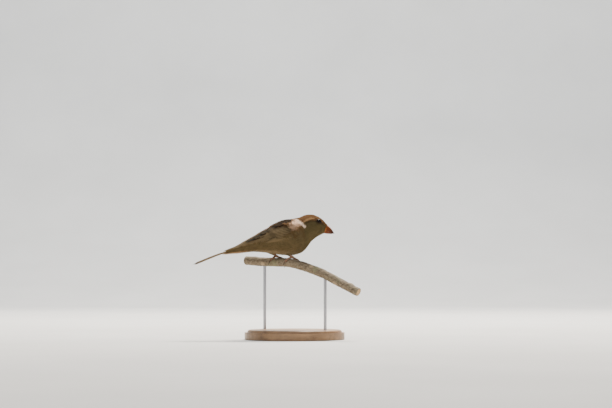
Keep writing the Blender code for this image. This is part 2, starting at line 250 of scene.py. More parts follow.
class Chart:
    """A curved surface as a table of place, outward direction and metres per step of u and of v."""

    def __init__(self, point, u, v):
        place = point(u[:, None], v[None, :])
        along, across = np.gradient(place, u, axis=0), np.gradient(place, v, axis=1)
        sizes = [np.linalg.norm(d, axis=-1, keepdims=True) for d in (along, across)]
        self.u, self.v = u, v
        self.table = np.concatenate([place, unit(np.cross(across, along)), *sizes], axis=-1)

    def read(self, u, v):
        """Place, outward direction, metres per u and per v, each blended from the four nearest spots.

        Past the table's ends the surface goes on straight.
        """
        x, y = ((at - line[0]) / (line[1] - line[0]) for at, line in ((u, self.u), (v, self.v)))
        x, y = np.broadcast_arrays(x, y)
        i = np.clip(x, 0, len(self.u) - 2).astype(int)
        j = np.clip(y, 0, len(self.v) - 2).astype(int)
        fx, fy = (x - i)[..., None], (y - j)[..., None]
        rows = self.table
        near = rows[i, j] * (1 - fy) + rows[i, j + 1] * fy
        far = rows[i + 1, j] * (1 - fy) + rows[i + 1, j + 1] * fy
        found = near * (1 - fx) + far * fx
        return found[..., 0:3], unit(found[..., 3:6]), found[..., 6], found[..., 7]


ROUND = math.pi + 0.6  # charts overlap themselves a little under the belly
BODY = Chart(body_point, np.linspace(0, 15, 601), np.linspace(-ROUND, ROUND, 541))


def eye_centre(label):
    low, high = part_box(f"eye_{label}")
    return np.array((low + high) / 2)


def eye_spot():
    """Station and angle of the spot of the head that each eye looks out from."""
    u, v = crossed(np.linspace(1, 3, 81), np.linspace(0.5, 1.5, 81))
    place, out, _, _ = BODY.read(u, v)
    off = place - eye_centre("left")
    miss = np.linalg.norm(off - (off * out).sum(-1, keepdims=True) * out, axis=-1)
    nearest = np.unravel_index(miss.argmin(), miss.shape)
    return u[nearest], v[nearest]


EYE_U, EYE_V = eye_spot()


def wing_edges(p):
    """Upper and lower edge, as angles, and thickness of the folded wing at a share p of its length."""
    upper, lower, thick = (np.interp(p, WING_OUTLINE[:, 0], WING_OUTLINE[:, k]) for k in (1, 2, 3))
    return np.radians(upper), np.radians(lower), thick * MM


def wing_to_body(p, q):
    """A place on the folded wing, p along it and q down across it, as body (u, v) of the left side."""
    upper, lower, _ = wing_edges(p)
    return mix(*WING_REACH, p), mix(upper, lower, q)


def body_to_wing(u, v):
    """Where body (u, v) lies on the folded wing, as (p, q), with the wing's upper edge and thickness."""
    p = (u - WING_REACH[0]) / (WING_REACH[1] - WING_REACH[0])
    upper, lower, thick = wing_edges(p)
    return p, (np.abs(v) - upper) / (lower - upper), upper, thick


def under_wing(u, v):
    """Whether a spot is well under the folded wing, where no contour feather shows."""
    p, q, _, _ = body_to_wing(u, v)
    return (p > 0.05) & (p < 0.97) & (q > 0.14) & (q < 0.84)


def wing_lift(u, v):
    """How far the folded wing stands above the body at (u, v): its thickness, rounded off at its edges."""
    p, q, _, thick = body_to_wing(u, v)
    inside = span(q, -0.12, 0.04, 0.96, 1.08) * span(p, -0.02, 0.04, 0.96, 1.01)
    rounding = 0.4 + 0.6 * np.sin(np.pi * np.clip(q, 0.02, 0.98)) ** 0.7
    return inside * (GAP + thick * rounding)


def back_fill(u, v):
    """How far the back's feathers stand up between the folded wings, to meet their upper edges."""
    p, _, upper, thick = body_to_wing(u, v)
    level = 0.66 * (GAP + thick) * span(p, 0, 0.16, 0.66, 0.96)
    return level * (1 - gate(np.abs(v) - upper, 0.10, 0.30))


# ---------------- meshes, attributes and materials


def grid_faces(rows, columns, wrap=False):
    """Corners of a grid's quads, the last column joined to the first where it wraps."""
    ids = np.arange(rows * columns).reshape(rows, columns)
    if wrap:
        ids = np.concatenate([ids, ids[:, :1]], axis=1)
    return stacked(ids[:-1, :-1], ids[:-1, 1:], ids[1:, 1:], ids[1:, :-1]).reshape(-1, 4)


def looks_outward(points, quads, caps):
    """Whether a closed surface's signed volume is positive."""
    centred = points - points.mean(axis=0)
    a, b, c, d = (centred[quads[:, k]] for k in range(4))
    volume = np.einsum("ij,ij", a, np.cross(b, c)) + np.einsum("ij,ij", a, np.cross(c, d))
    for cap in caps:
        ring = centred[cap]
        middle = np.broadcast_to(ring.mean(axis=0), ring.shape)
        volume += np.einsum("ij,ij", middle, np.cross(ring, np.roll(ring, -1, axis=0)))
    return volume > 0


def new_piece(name, points, quads, caps=(), copies=1, sharp=60):
    """A mesh object of like closed copies: points holds each copy's, and faces are one copy's corners."""
    points = np.asarray(points, float).reshape(copies, -1, 3)
    if not looks_outward(points[0], quads, caps):
        quads, caps = quads[:, ::-1], [cap[::-1] for cap in caps]
    corners = np.concatenate([quads.ravel(), *caps])
    sizes = np.tile([4] * len(quads) + [len(cap) for cap in caps], copies)
    corners = (corners[None, :] + points.shape[1] * np.arange(copies)[:, None]).ravel()
    starts = np.concatenate([[0], np.cumsum(sizes)[:-1]])
    mesh = bpy.data.meshes.new(name)
    mesh.vertices.add(points.shape[0] * points.shape[1])
    mesh.vertices.foreach_set("co", points.ravel())
    mesh.loops.add(len(corners))
    mesh.loops.foreach_set("vertex_index", corners.astype(np.int32))
    mesh.polygons.add(len(sizes))
    mesh.polygons.foreach_set("loop_start", starts.astype(np.int32))
    mesh.update(calc_edges=True)
    mesh.shade_smooth()
    if sharp:
        mesh.set_sharp_from_angle(angle=math.radians(sharp))
    piece = bpy.data.objects.new(name, mesh)
    bpy.context.scene.collection.objects.link(piece)
    return piece


def paint(piece, colours):
    """Stores a colour for every point of the piece, as linear red, green and blue."""
    colours = np.asarray(colours, float).reshape(-1, 3)
    layer = piece.data.color_attributes.new("markings", "FLOAT_COLOR", "POINT")
    layer.data.foreach_set("color", np.concatenate([colours, np.ones((len(colours), 1))], axis=1).ravel())


def mark(piece, name, values):
    """Stores three numbers for every point of the piece, for a material's pattern to follow."""
    layer = piece.data.attributes.new(name, "FLOAT_VECTOR", "POINT")
    layer.data.foreach_set("vector", np.asarray(values, float).ravel())


def corner_points(mesh):
    """The point that each corner of a mesh's faces lies on."""
    ids = np.empty(len(mesh.loops), np.int32)
    mesh.loops.foreach_get("vertex_index", ids)
    return ids


def map_points(piece, uv):
    """Gives the piece its OFBake map from one spot per point."""
    layer = piece.data.uv_layers.new(name="OFBake")
    layer.data.foreach_set("uv", np.asarray(uv, float).reshape(-1, 2)[corner_points(piece.data)].ravel())


def paint_corners(piece, colours, uv):
    """Stores a colour and a map spot per corner from those of the points, so that a Boolean keeps them."""
    mesh = piece.data
    colours = np.broadcast_to(colours, (len(mesh.vertices), 4))[corner_points(mesh)]
    mesh.color_attributes.new("markings", "FLOAT_COLOR", "CORNER").data.foreach_set("color", colours.ravel())
    map_points(piece, np.broadcast_to(uv, (len(mesh.vertices), 2)))


def fit_out(piece, material, slot, *nodes):
    """Finishes a piece: its material, the body it rides on and the solids that it stands for; slot is not
    used.
    """
    piece.data.materials.clear()
    piece.data.materials.append(material)
    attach(piece, "root")
    if nodes:
        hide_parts(*nodes)


def linear(colour):
    """A display colour, red, green and blue from 0 to 1, as linear light."""
    colour = np.asarray(colour, float)
    return np.where(colour <= 0.04045, colour / 12.92, ((colour + 0.055) / 1.055) ** 2.4)


class Nodes:
    """Short calls for building a material's node tree."""

    def __init__(self, name):
        self.material = bpy.data.materials.get(name) or bpy.data.materials.new(name)
        self.material.use_nodes = True
        self.tree = self.material.node_tree
        self.tree.nodes.clear()
        self.shader = self.add("ShaderNodeBsdfPrincipled")
        output = self.add("ShaderNodeOutputMaterial")
        self.put(output.inputs["Surface"], self.shader.outputs[0])

    def add(self, kind, **values):
        """A node of that kind, with its properties and sockets set."""
        node = self.tree.nodes.new(kind)
        for key, value in values.items():
            if hasattr(node, key):
                setattr(node, key, value)
            else:
                self.put(node.inputs[key.replace("_", " ")], value)
        return node

    def put(self, socket, value):
        """Links a socket to another node's output, or sets it, a colour with its alpha."""
        if isinstance(value, bpy.types.NodeSocket):
            self.tree.links.new(value, socket)
        elif socket.type == "RGBA":
            socket.default_value = (*value, 1)
        else:
            socket.default_value = value

    def math(self, operation, *values):
        node = self.add("ShaderNodeMath", operation=operation)
        for socket, value in zip(node.inputs, values):
            self.put(socket, value)
        return node.outputs[0]

    def attribute(self, name, out="Color"):
        return self.add("ShaderNodeAttribute", attribute_name=name).outputs[out]

    def parts(self, name):
        """The three numbers of a piece's own attribute."""
        return self.add("ShaderNodeSeparateXYZ", Vector=self.attribute(name, "Vector")).outputs

    def place(self, scale=(1, 1, 1), spot=None):
        """A place, or else Object coordinates, stretched by scale."""
        if spot is None:
            spot = self.add("ShaderNodeTexCoord").outputs["Object"]
        return self.add("ShaderNodeMapping", Vector=spot, Scale=scale).outputs[0]

    def noise(self, scale, detail=4.0, rough=0.55, vector=None, out="Fac"):
        if vector is None:
            vector = self.place()
        node = self.add("ShaderNodeTexNoise", Scale=scale, Detail=detail, Roughness=rough, Vector=vector)
        return node.outputs[out]

    def ramp(self, value, *stops):
        """A colour ramp through (place, grey or linear colour) stops."""
        node = self.add("ShaderNodeValToRGB")
        self.put(node.inputs[0], value)
        marks = node.color_ramp.elements
        while len(marks) < len(stops):
            marks.new(0.5)
        for element, (place, tone) in zip(marks, stops):
            element.position = place
            element.color = (*np.broadcast_to(tone, 3), 1)
        return node.outputs[0]

    def blend(self, share, a, b, how="MIX"):
        """Two colours mixed by share."""
        node = self.add("ShaderNodeMix", data_type="RGBA", blend_type=how)
        for socket, value in ((0, share), (6, a), (7, b)):
            self.put(node.inputs[socket], value)
        return node.outputs[2]

    def times(self, a, b):
        return self.blend(1.0, a, b, "MULTIPLY")

    def bump(self, height, distance, strength):
        return self.add("ShaderNodeBump", Strength=strength, Distance=distance, Height=height).outputs[0]

    def finish(self, **values):
        """Sets the shader's own sockets and returns the material."""
        for key, value in values.items():
            self.put(self.shader.inputs[key.replace("_", " ")], value)
        return self.material


# ---------------- colours


def tint(name, label, value):
    return FloatVectorProperty(
        name=name, description=label, subtype="COLOR", size=3, min=0, max=1, default=tuple(linear(value))
    )


class SparrowColours(bpy.types.PropertyGroup):
    """The plumage's and the bare parts' colours, some of them with painted sunlight, highlight or shade in
    them.
    """

    crown: tint("Crown", "Top of the head", (0.415, 0.295, 0.185))
    brow: tint("Brow", "Pale streak behind the eye", (0.72, 0.57, 0.39))
    eye_stripe: tint("Eye stripe", "Dark streak behind the eye", (0.22, 0.16, 0.1))
    # cheek, throat and breast: a real buff-brown, darkened and turned olive as painted shade with a painted
    # green reflection from leaves
    cheek: tint("Cheek", "Ear coverts", (0.35, 0.305, 0.20))
    throat: tint("Throat", "Chin and throat", (0.375, 0.325, 0.218))
    breast: tint("Breast", "Breast and flanks", (0.37, 0.315, 0.215))
    belly: tint("Belly", "Belly and vent", (0.51, 0.445, 0.34))
    mantle: tint("Mantle", "Back between the wings", (0.35, 0.25, 0.145))
    streak: tint("Streak", "Dark feather centres", (0.12, 0.085, 0.05))
    pale_edge: tint("Pale edge", "Buff feather edges", (0.80, 0.63, 0.48))
    # shoulder: a pale covert patch, painted much paler and pinker as painted sunlight on the shoulder
    shoulder: tint("Shoulder", "Pale patch before the wing", (0.94, 0.785, 0.66))
    rump: tint("Rump", "Lower back", (0.42, 0.33, 0.21))
    wing: tint("Wing", "Flight feathers", (0.33, 0.282, 0.20))
    wing_edge: tint("Wing edge", "Edges of the flight feathers", (0.53, 0.445, 0.315))
    # wing bar: a real pale covert bar, painted brighter as painted sunlight
    wing_bar: tint("Wing bar", "Bright rear edge of the pale patch", (1.0, 0.89, 0.77))
    tail: tint("Tail", "Tail feathers", (0.28, 0.22, 0.15))
    bill: tint("Bill", "Sides of the bill", (0.39, 0.185, 0.05))
    bill_tip: tint("Bill tip", "Ridge and tip of the bill", (0.18, 0.065, 0.042))
    iris: tint("Iris", "Iris of the eye", (0.09, 0.05, 0.03))
    leg: tint("Leg", "Legs and toes", (0.53, 0.41, 0.335))
    claw: tint("Claw", "Claws", (0.20, 0.15, 0.12))
    bark: tint("Bark", "Branch bark", (0.47, 0.415, 0.335))
    wood: tint("Stand wood", "Turned base of the stand", (0.60, 0.46, 0.32))


class SparrowSizes(bpy.types.PropertyGroup):
    """Counts and sizes that set how fine the coat is."""

    head_columns: IntProperty(
        name="Head columns", description="Feathers in one ring round the head", default=104, min=24, max=160
    )
    body_columns: IntProperty(
        name="Body columns", description="Feathers in one ring round the body", default=66, min=24, max=96
    )
    eye_opening: FloatProperty(
        name="Eye opening", description="Width between the corners of the eye", default=4.3 * MM,
        min=3 * MM, max=6 * MM, unit="LENGTH"
    )
    ruffle: FloatProperty(
        name="Ruffle", description="How far feather tips stand apart", default=0.08 * MM,
        min=0, max=0.5 * MM, unit="LENGTH"
    )


def colour(name):
    return np.array(getattr(bpy.context.scene.sparrow_colours, name))


def markings(u, v):
    """The plumage's colour at (u, v) of the body chart, on skin and coat alike, with painted light and shade
    in some patches.

    Each patch of the sparrow is laid over those before it. Its share is a product of gates and bands, whose
    places are stations along u and degrees d from the ridge of the back.
    """
    d = np.degrees(np.abs(v))
    d = np.minimum(d, 360 - d)
    behind = u - (5.23 - 0.0270 * (d - 42.5))  # stations behind the pale patch's slanting front edge
    rear = u - 0.45 * gate(d, 20, 45)
    pale = gate(behind, -0.25, 0.1) * (1 - gate(rear, 5.75, 6.25)) * span(d, 4, 12, 48, 68)
    patches = (
        ("mantle", gate(u, 4.6, 5.6)),
        ("rump", gate(u, 8.6, 10.0)),
        # the cheek, breast and throat colours hold painted shade and a painted green reflection
        ("cheek", gate(d, 50, 62) * (1 - gate(u, 4.6, 5.6))),
        ("breast", gate(d, 60, 86) * gate(u, 4.6, 5.8)),
        ("throat", gate(d, 92, 122) * (1 - gate(u, 4.4, 6.4))),
        ("belly", gate(d, 128, 158) * gate(u, 6.2, 8.6)),
        ("pale_edge", 0.55 * gate(d, 110, 150) * gate(u, 11.0, 12.2)),
        ("brow", 0.70 * band(d, 41 + 4.4 * (u - 2), 3.5, 7) * span(u, 2.2, 3.0, 4.1, 4.8)),
        ("brow", 0.50 * band(d, 54, 1.5, 5) * span(u, 3.3, 3.8, 4.2, 4.7)),
        ("brow", 0.25 * band(d, 38, 3, 7) * span(u, 0.7, 1.2, 1.7, 2.3)),
        ("eye_stripe", 0.65 * band(d, 57 + 2.5 * (u - 1.8), 4, 9) * span(u, 1.7, 2.3, 3.8, 4.9)),
        ("eye_stripe", 0.55 * band(d, 56, 9, 16) * span(u, 0.1, 0.8, 1.4, 2.1)),
        # the pale patch and its bar hold painted sunlight on the shoulder, laid over the real pale coverts
        ("shoulder", 0.90 * pale * (1 - 0.5 * gate(d, 34, 58) * gate(behind, 0.25, 0.7))),
        ("shoulder", 0.34 * band(d, 55, 11, 14) * band(u, 6.45, 0.45, 0.6)),
        ("wing_bar", 0.95 * band(behind, 0.10, 0.21, 0.22) * span(d, 26, 40, 72, 82)),
        ("streak", 0.93 * band(d, 21 + 4.2 * (u - 6.4), 13, 10) * span(u, 6.0, 6.5, 9.6, 10.6)),
        # painted rim light: a thin strip of the crown's warm brown along the ridge of the back, standing for
        # sun from behind
        ("crown", 0.6 * (1 - gate(d, 3, 8)) * span(u, 7.2, 7.8, 9.0, 10.2)),
    )
    found = colour("crown")
    for name, share in patches:
        found = mix(found, colour(name), share[..., None])
    return found


# ---------------- feathers


def vane_faces(rings, width):
    """Corners of one closed vane: quads above, a wide quad below for each ring, and a cap at each end."""
    ids = np.arange(rings * width).reshape(rings, width)
    under = stacked(ids[:-1, -1], ids[:-1, 0], ids[1:, 0], ids[1:, -1])
    return np.concatenate([grid_faces(rings, width), under]), [ids[0, ::-1], ids[-1]]


def vane_width(t, base, shoulder, power):
    """Half width of a vane as a share: it widens from its base, and rounds off past its shoulder."""
    widening = base + (1 - base) * smooth_step(t / 0.45)
    ending = 1 - np.clip((t - shoulder) / (1 - shoulder), 0, 1) ** power
    return widening * np.sqrt(np.maximum(ending, 0)) + 0.02


def placed(chart, spine, t, v, half, height, side=1):
    """Points of feathers: along each spine to t, sideways by v times the half width, and up by the height.

    t and v are (feathers, rings, columns). half is (towards the back, towards the belly) of each feather, on
    side 1, the left, or -1. down is v as seen from there, and height is a function of t, down and the place
    on the chart. Returns points and down.
    """
    down = v * side
    half = half[:, :, None, None]
    across = v * np.where(down < 0, half[:, 0], half[:, 1])
    u0, v0 = spine(t)
    u1, v1 = spine(t + 0.01)
    _, _, per_u, per_v = chart.read(u0, v0)
    ahead = unit(stacked((u1 - u0) * per_u, (v1 - v0) * per_v))
    u2 = u0 - ahead[..., 1] * across / per_u
    v2 = v0 + ahead[..., 0] * across / per_v
    place, out, _, _ = chart.read(u2, v2)
    return place + out * height(t, down, u2, v2)[..., None], down


def vane_shape(length, half, form, rings, columns, rng):
    """A long feather's t and v: each ring is a barb that leaves the shaft early and ends on the outline.

    Every second barb ends short by a random share, which frays the edge. form is (base, shoulder, power,
    sweep, fray).
    """
    base, shoulder, power, sweep, fray = form
    t = np.sin(np.linspace(0, math.pi / 2, rings))[None, :, None]
    v = np.array(columns)[None, None, :]
    width = vane_width(t, base, shoulder, power)
    short = 1 - fray * rng.random((len(length), rings, len(columns))) * (np.arange(rings) % 2)[None, :, None]
    short = np.where(np.abs(v) == 1, short, 1)
    reach = each(half.mean(axis=1) / length)
    along = np.clip(t - sweep * reach * width * (1 - np.abs(v) * short), 0, 1)
    return along, v * width * short


def tuft_shape(count, teeth, split, rng):
    """A soft feather's t and v: its end is split into filaments, tips and clefts by turns on the last ring.

    Tips end at 1 - 0.3 v^2 and clefts at the share `split` of that, each with a little disorder.
    """
    rings, columns = 4, 2 * teeth + 1
    v = np.linspace(-1, 1, columns)[None, None, :]
    is_tip = (np.arange(columns) % 2 == 1)[None, None, :]
    size = (count, 1, columns)
    envelope = (1 - 0.30 * v**2) * (1 + rng.uniform(-0.07, 0.07, size))
    cleft = (1 - 0.30 * v**2) * split * (1 + rng.uniform(-0.12, 0.12, size))
    body = np.linspace(0, 0.94, rings)[None, :, None] * cleft
    t = np.concatenate([body, np.where(is_tip, envelope, cleft)], axis=1)
    width = 0.40 + 0.60 * smooth_step(t / 0.5)
    splay = 1 + np.where(is_tip, rng.uniform(-0.10, 0.06, size), 0)
    v = np.concatenate([np.broadcast_to(v, (count, rings, columns)), v * splay], axis=1)
    return t, v * width


def straight_spine(u, v, length, heading, chart):
    """Spines that leave (u, v) at a heading from the tailward line, with the chart's scale read half way."""
    u, v, length, heading = (each(x) for x in (u, v, length, heading))
    _, _, per_u, per_v = chart.read(u, v)
    _, _, per_u, per_v = chart.read(
        u + 0.5 * length * np.cos(heading) / per_u, v + 0.5 * length * np.sin(heading) / per_v
    )

    def spine(t):
        return u + t * length * np.cos(heading) / per_u, v + t * length * np.sin(heading) / per_v

    return spine


def coat_piece(name, points, along, across, length, half, colours, spots, rng, patch=0.003):
    """One mesh of closed vanes. Its OFBake map gives each feather a patch of that size at its own spot."""
    count, rings, columns = along.shape
    piece = new_piece(name, points, *vane_faces(rings, columns), count)
    paint(piece, np.broadcast_to(colours, points.shape))
    shift = np.broadcast_to(each(rng.random(count)), along.shape)
    mark(piece, "vane", stacked(along * each(length), across * each(half.mean(axis=1)), shift))
    map_points(piece, spots[:, None, None, :] + stacked(along, across * 0.5 + 0.5) * patch)
    return piece


def spread(values):
    """Values stretched to run from 0.01 to 0.985, to fill a map."""
    low, high = values.min(), values.max()
    return 0.01 + 0.975 * (values - low) / (high - low)


def soft_piece(name, chart, spine, tuft, height, length, half, colours, roots, slot, rng, side=1, nodes=()):
    """A piece of soft feathers, laid from their tufts' t and v along their spines, in plain down."""
    along, across = tuft
    points, down = placed(chart, spine, along, across, half, height, side)
    spots = np.stack([spread(x) for x in roots], axis=1)
    piece = coat_piece(name, points, along, down, length, half, colours, spots, rng)
    fit_out(piece, plumage_material("down"), slot, *nodes)


def uneven(count, amount, rng):
    """A factor of about 1 for each feather's colour."""
    return each(1 + rng.normal(0, amount, count), 3)


def lattice(columns, start, end, pace, rng):
    """Feather roots in staggered rows over the body between two stations.

    Along each line from bill to tail, the rows' count grows by distance over pace times the gap between
    lines, so roots crowd together where the body is slim, as they do on a face. Every second line is half a
    row behind. Returns u, v and the gap between lines at each root, with a little disorder.
    """
    angles = -math.pi + TURN * (np.arange(columns) + 0.5) / columns
    u = np.linspace(start, end, 600)
    found = []
    for k, angle in enumerate(angles):
        _, _, per_u, per_v = BODY.read(u, np.full_like(u, angle))
        gap = per_v * TURN / columns
        rows = np.concatenate([[0], np.cumsum((per_u / (pace * gap))[1:] * np.diff(u))])
        wanted = np.arange(0.5 * (k % 2), rows[-1], 1.0)
        wanted = wanted + rng.uniform(-0.28, 0.28, len(wanted))
        root = np.interp(wanted, rows, u)
        found.append(np.stack([root, np.full_like(root, angle), np.interp(root, u, gap)]))
    u, v, gap = np.concatenate(found, axis=1)
    return u, v + rng.uniform(-0.25, 0.25, len(v)) * TURN / columns, gap


def round_the_eye(u, v, length, heading):
    """Keeps feathers out of the eye: drops roots in it, turns those ahead of it aside, shortens the rest.

    With (a, b) a root's distance from the eye along and across the lie, a root ahead of the eye turns away
    by an angle that falls off with |b|, and its length ends where it would enter the opening.
    """
    _, _, per_u, per_v = BODY.read(EYE_U, EYE_V)
    side = np.where(v < 0, -1, 1)
    a, b = (u - EYE_U) * per_u, (np.abs(v) - EYE_V) * per_v
    b = np.where(b < 0, b / EYE_TOP, b)
    ahead = span(a, -7 * MM, -2 * MM, 0.5 * MM, 3 * MM)
    heading = heading + np.where(b < 0, -1, 1) * ahead * bell(b, 2.6 * MM) * 0.85 * side
    way = np.stack([np.cos(heading), np.sin(heading) * side])
    nearest = -(a * way[0] + b * way[1])
    miss = np.hypot(a + nearest * way[0], b + nearest * way[1])
    entry = nearest - np.sqrt(np.maximum(EYE_CLEAR**2 - miss**2, 0))
    enters = (nearest > 0) & (miss < EYE_CLEAR)
    length = np.where(enters, np.minimum(length, np.maximum(entry, 0)), length)
    keep = (np.hypot(a, b) > EYE_CLEAR) & (length > 0.35 * MM)
    return heading, length, keep


def contour_feathers(name, u, v, sizes, slot, rng, teeth=5, split=0.66, heading=0.0, over_wing=False):
    """A piece of contour feathers on the body chart, each split into filaments at its end.

    sizes are the length, half width, height of the tip and height of the shaft over the edges. A feather
    rises from the skin to the coat's surface as 1 - (1 - t)^2.4, so its tip lies on the next one. heading
    turns it towards the belly, in radians.
    """
    length, half, tip, arch, _ = np.broadcast_arrays(*sizes, u)
    heading = heading * np.where(v < 0, -1, 1) + rng.normal(0, 0.10, len(u))
    heading, length, clear = round_the_eye(u, v, length, heading)
    u, v, length, half, tip, arch, heading = (x[clear] for x in (u, v, length, half, tip, arch, heading))
    count = len(u)
    low = -np.interp(u, *SKIN_DEPTH) * MM * 0.96
    over = np.where(np.abs(v) < math.radians(50), 1 - gate(u, 7.3, 8.0), mix(1.0, 0.62, gate(u, 6.8, 8.2)))
    ruffle = bpy.context.scene.sparrow_sizes.ruffle
    tip = tip + rng.normal(0, 0.35, count) * ruffle
    lean = rng.normal(0, 0.30, count) * ruffle
    tuft = tuft_shape(count, teeth, split, rng)
    strand = np.where(np.arange(2 * teeth + 1) % 2 == 1, 0.035 * MM, 0.0)
    low, tip, arch, lean, over = (each(x) for x in (low, tip, arch, lean, over))

    def height(t, across, uu, vv):
        raised = low + (tip - low) * (1 - (1 - np.clip(t, 0, 1)) ** 2.4) + arch * (1 - across**2)
        raised = raised + lean * across * t + strand * smooth_step(t / 0.6)
        stand = np.maximum(over * wing_lift(uu, vv), back_fill(uu, vv)) * over_wing
        return raised + stand * smooth_step(t / 0.5)

    spine = straight_spine(u, v, length, heading, BODY)
    shown_u, shown_v = (x[:, 0, 0] for x in spine(0.75))
    astray = gate(u, 4.0, 5.4)
    shown_u = shown_u + rng.normal(0, 0.02, count) + rng.normal(0, 0.13, count) * astray
    shown_v = shown_v + rng.normal(0, 0.01, count) + rng.normal(0, 0.06, count) * astray
    colours = feather_colours(markings(shown_u, shown_v)[:, None, None, :], u, v, *tuft, rng)
    half = np.stack([half, half], axis=1)
    soft_piece(name, BODY, spine, tuft, height, length, half, colours, (u, v), slot, rng)


def feather_colours(base, u, v, along, across, rng):
    """A contour feather's colours: its patch's, darker at the root, pale-edged, some with a dark streak."""
    count = len(u)
    d = np.degrees(np.abs(v))
    on_head = 1 - gate(u, 4.2, 5.4)
    own = 1 + each(rng.normal(0, 1, count) * mix(0.07, 0.045, on_head), 3)
    rim = np.maximum(smooth_step((np.abs(across) - 0.35) / 0.6), smooth_step((along - 0.60) / 0.35))
    found = base * own * (1 + each(mix(0.14, 0.07, on_head), 3) * (2 * rim[..., None] - 1.2))
    on_back = span(u, 5.0, 5.8, 8.6, 9.6) * (1 - gate(d, 34, 52))
    on_crown = 0.30 * (1 - gate(u, 4.6, 5.4)) * (1 - gate(d, 26, 40)) * gate(u, 0.4, 1.0)
    on_side = 0.12 * span(d, 80, 100, 135, 160) * gate(u, 6.4, 8.0)
    streaked = rng.random(count) < np.where(on_back > 0.3, 0.50, 0.8)
    centre = (1 - smooth_step((np.abs(across) - 0.10) / 0.4)) * span(along, 0.25, 0.5, 0.80, 1.0)
    amount = each((on_back * 0.88 + on_crown + on_side) * streaked, 3) * centre[..., None]
    return mix(found, colour("streak") * own, amount)


BARBS = {  # spacing, angle from the shaft, contrast, relief and roughness of each kind of vane
    "down": (0.12 * MM, 14, 0.10, 0.020 * MM, 0.80),
    "flight_plumage": (0.22 * MM, 36, 0.11, 0.03 * MM, 0.62),
}


def plumage_material(name):
    """Feather surface: the painted markings, varied by fine noise, with barbs as fine slanting ridges.

    Barbs run at an angle from the shaft, where distance along times its sine less distance across times its
    cosine is a whole number of spacings.
    """
    if name in bpy.data.materials:
        return bpy.data.materials[name]
    spacing, angle, contrast, relief, rough = BARBS[name]
    n = Nodes(name)
    along, across, _ = n.parts("vane")
    across = n.math("MULTIPLY", n.math("ABSOLUTE", across), math.cos(math.radians(angle)))
    slant = n.math("SUBTRACT", n.math("MULTIPLY", along, math.sin(math.radians(angle))), across)
    ridge = n.math("SINE", n.math("MULTIPLY", slant, TURN / spacing))
    fine, mottle = n.noise(2600, 3), n.noise(300, 4)
    shade = n.math("MULTIPLY_ADD", ridge, contrast / 2, 0.70)
    shade = n.math("MULTIPLY_ADD", fine, 0.26, shade)
    shade = n.math("MULTIPLY_ADD", mottle, 0.34, shade)
    grey = n.add("ShaderNodeCombineColor", Red=shade, Green=shade, Blue=shade).outputs[0]
    return n.finish(
        Base_Color=n.times(n.attribute("markings"), grey),
        Roughness=n.math("MULTIPLY_ADD", fine, 0.2, rough - 0.1), Specular_IOR_Level=0.03,
        Sheen_Weight=0.015, Sheen_Roughness=0.5, Sheen_Tint=(0.95, 0.84, 0.70),
        Normal=n.bump(n.math("MULTIPLY_ADD", fine, 1.5, ridge), relief, 0.7)
    )


# ---------------- coat of the head and body

# Each look gives contour feathers their length, half width, height of tip and height of shaft.


def head_look(u, v, gap):
    """Small close feathers: finest round the bill and eye, longer on the nape."""
    face = 1 - gate(u, 0.3, 2.4)
    tip = mix(0.02, 0.08, gate(np.degrees(np.abs(v)), 100, 150)) * MM
    return gap * mix(5.2, 4.2, face), gap * mix(1.05, 0.85, face), tip, 0.07 * gap


def body_look(u, v, gap):
    """Broad overlapping feathers, looser on the belly and flanks."""
    loose = gate(np.degrees(np.abs(v)), 85, 120) * span(u, 5.5, 7.0, 10.5, 12.0)
    length = np.clip(gap * mix(5.2, 6.4, loose), 3.2 * MM, 11 * MM)
    half = np.clip(gap * mix(1.10, 1.20, loose), 0.9 * MM, 2.2 * MM)
    return length, half, mix(0.03, 0.20, loose) * MM, 0.07 * gap


def rump_look(u, v):
    """Longer narrow feathers over the tail's root, where those at its edges end on a wavy line."""
    reach = gate(u, 9.8, 12.2)
    edge = band(np.degrees(np.abs(v)), 90, 38, 16)
    room = np.maximum(13.3 + 0.3 * np.sin(v * 37 + u * 11) - u, 0) * BODY.read(u, v)[2]
    length = mix(5.2, 7.8, reach) * MM
    length = mix(length, np.minimum(length, room), edge)
    return length, mix(1.2, 1.0, reach) * MM * mix(1.0, 0.7, edge * reach), 0.08 * MM, 0.10 * MM


def scapular_look(u):
    """Larger feathers that cover the wing's upper front edge, laid above its coverts."""
    reach = gate(u, 5.2, 7.2)
    return mix(6.0, 9.5, reach) * MM, mix(1.35, 1.9, reach) * MM, mix(0.25, 0.75, reach) * MM, 0.16 * MM


def make_head_coat():
    """Crown, cheeks and throat, told apart by the angle from the ridge, and the ring round each eye."""
    rng = np.random.default_rng(SEEDS["head"])
    u, v, gap = lattice(bpy.context.scene.sparrow_sizes.head_columns, 0.08, 4.75, 1.15, rng)
    d = np.degrees(np.abs(v))
    parts = {"coat_crown": d < 62, "coat_cheeks": (d >= 62) & (d < 112), "coat_throat": d >= 112}
    for name, part in parts.items():
        sizes = head_look(u[part], v[part], gap[part])
        contour_feathers(name, u[part], v[part], sizes, "plumage_head", rng)
    eye_ring(rng)


EYE_RINGS = {  # distance from the eye's axis in millimetres: feathers in the ring, brightness at their roots
    2.34: (56, 0.35), 2.46: (56, 0.42), 2.66: (56, 0.55), 2.96: (58, 0.75), 3.36: (58, 0.95),
}


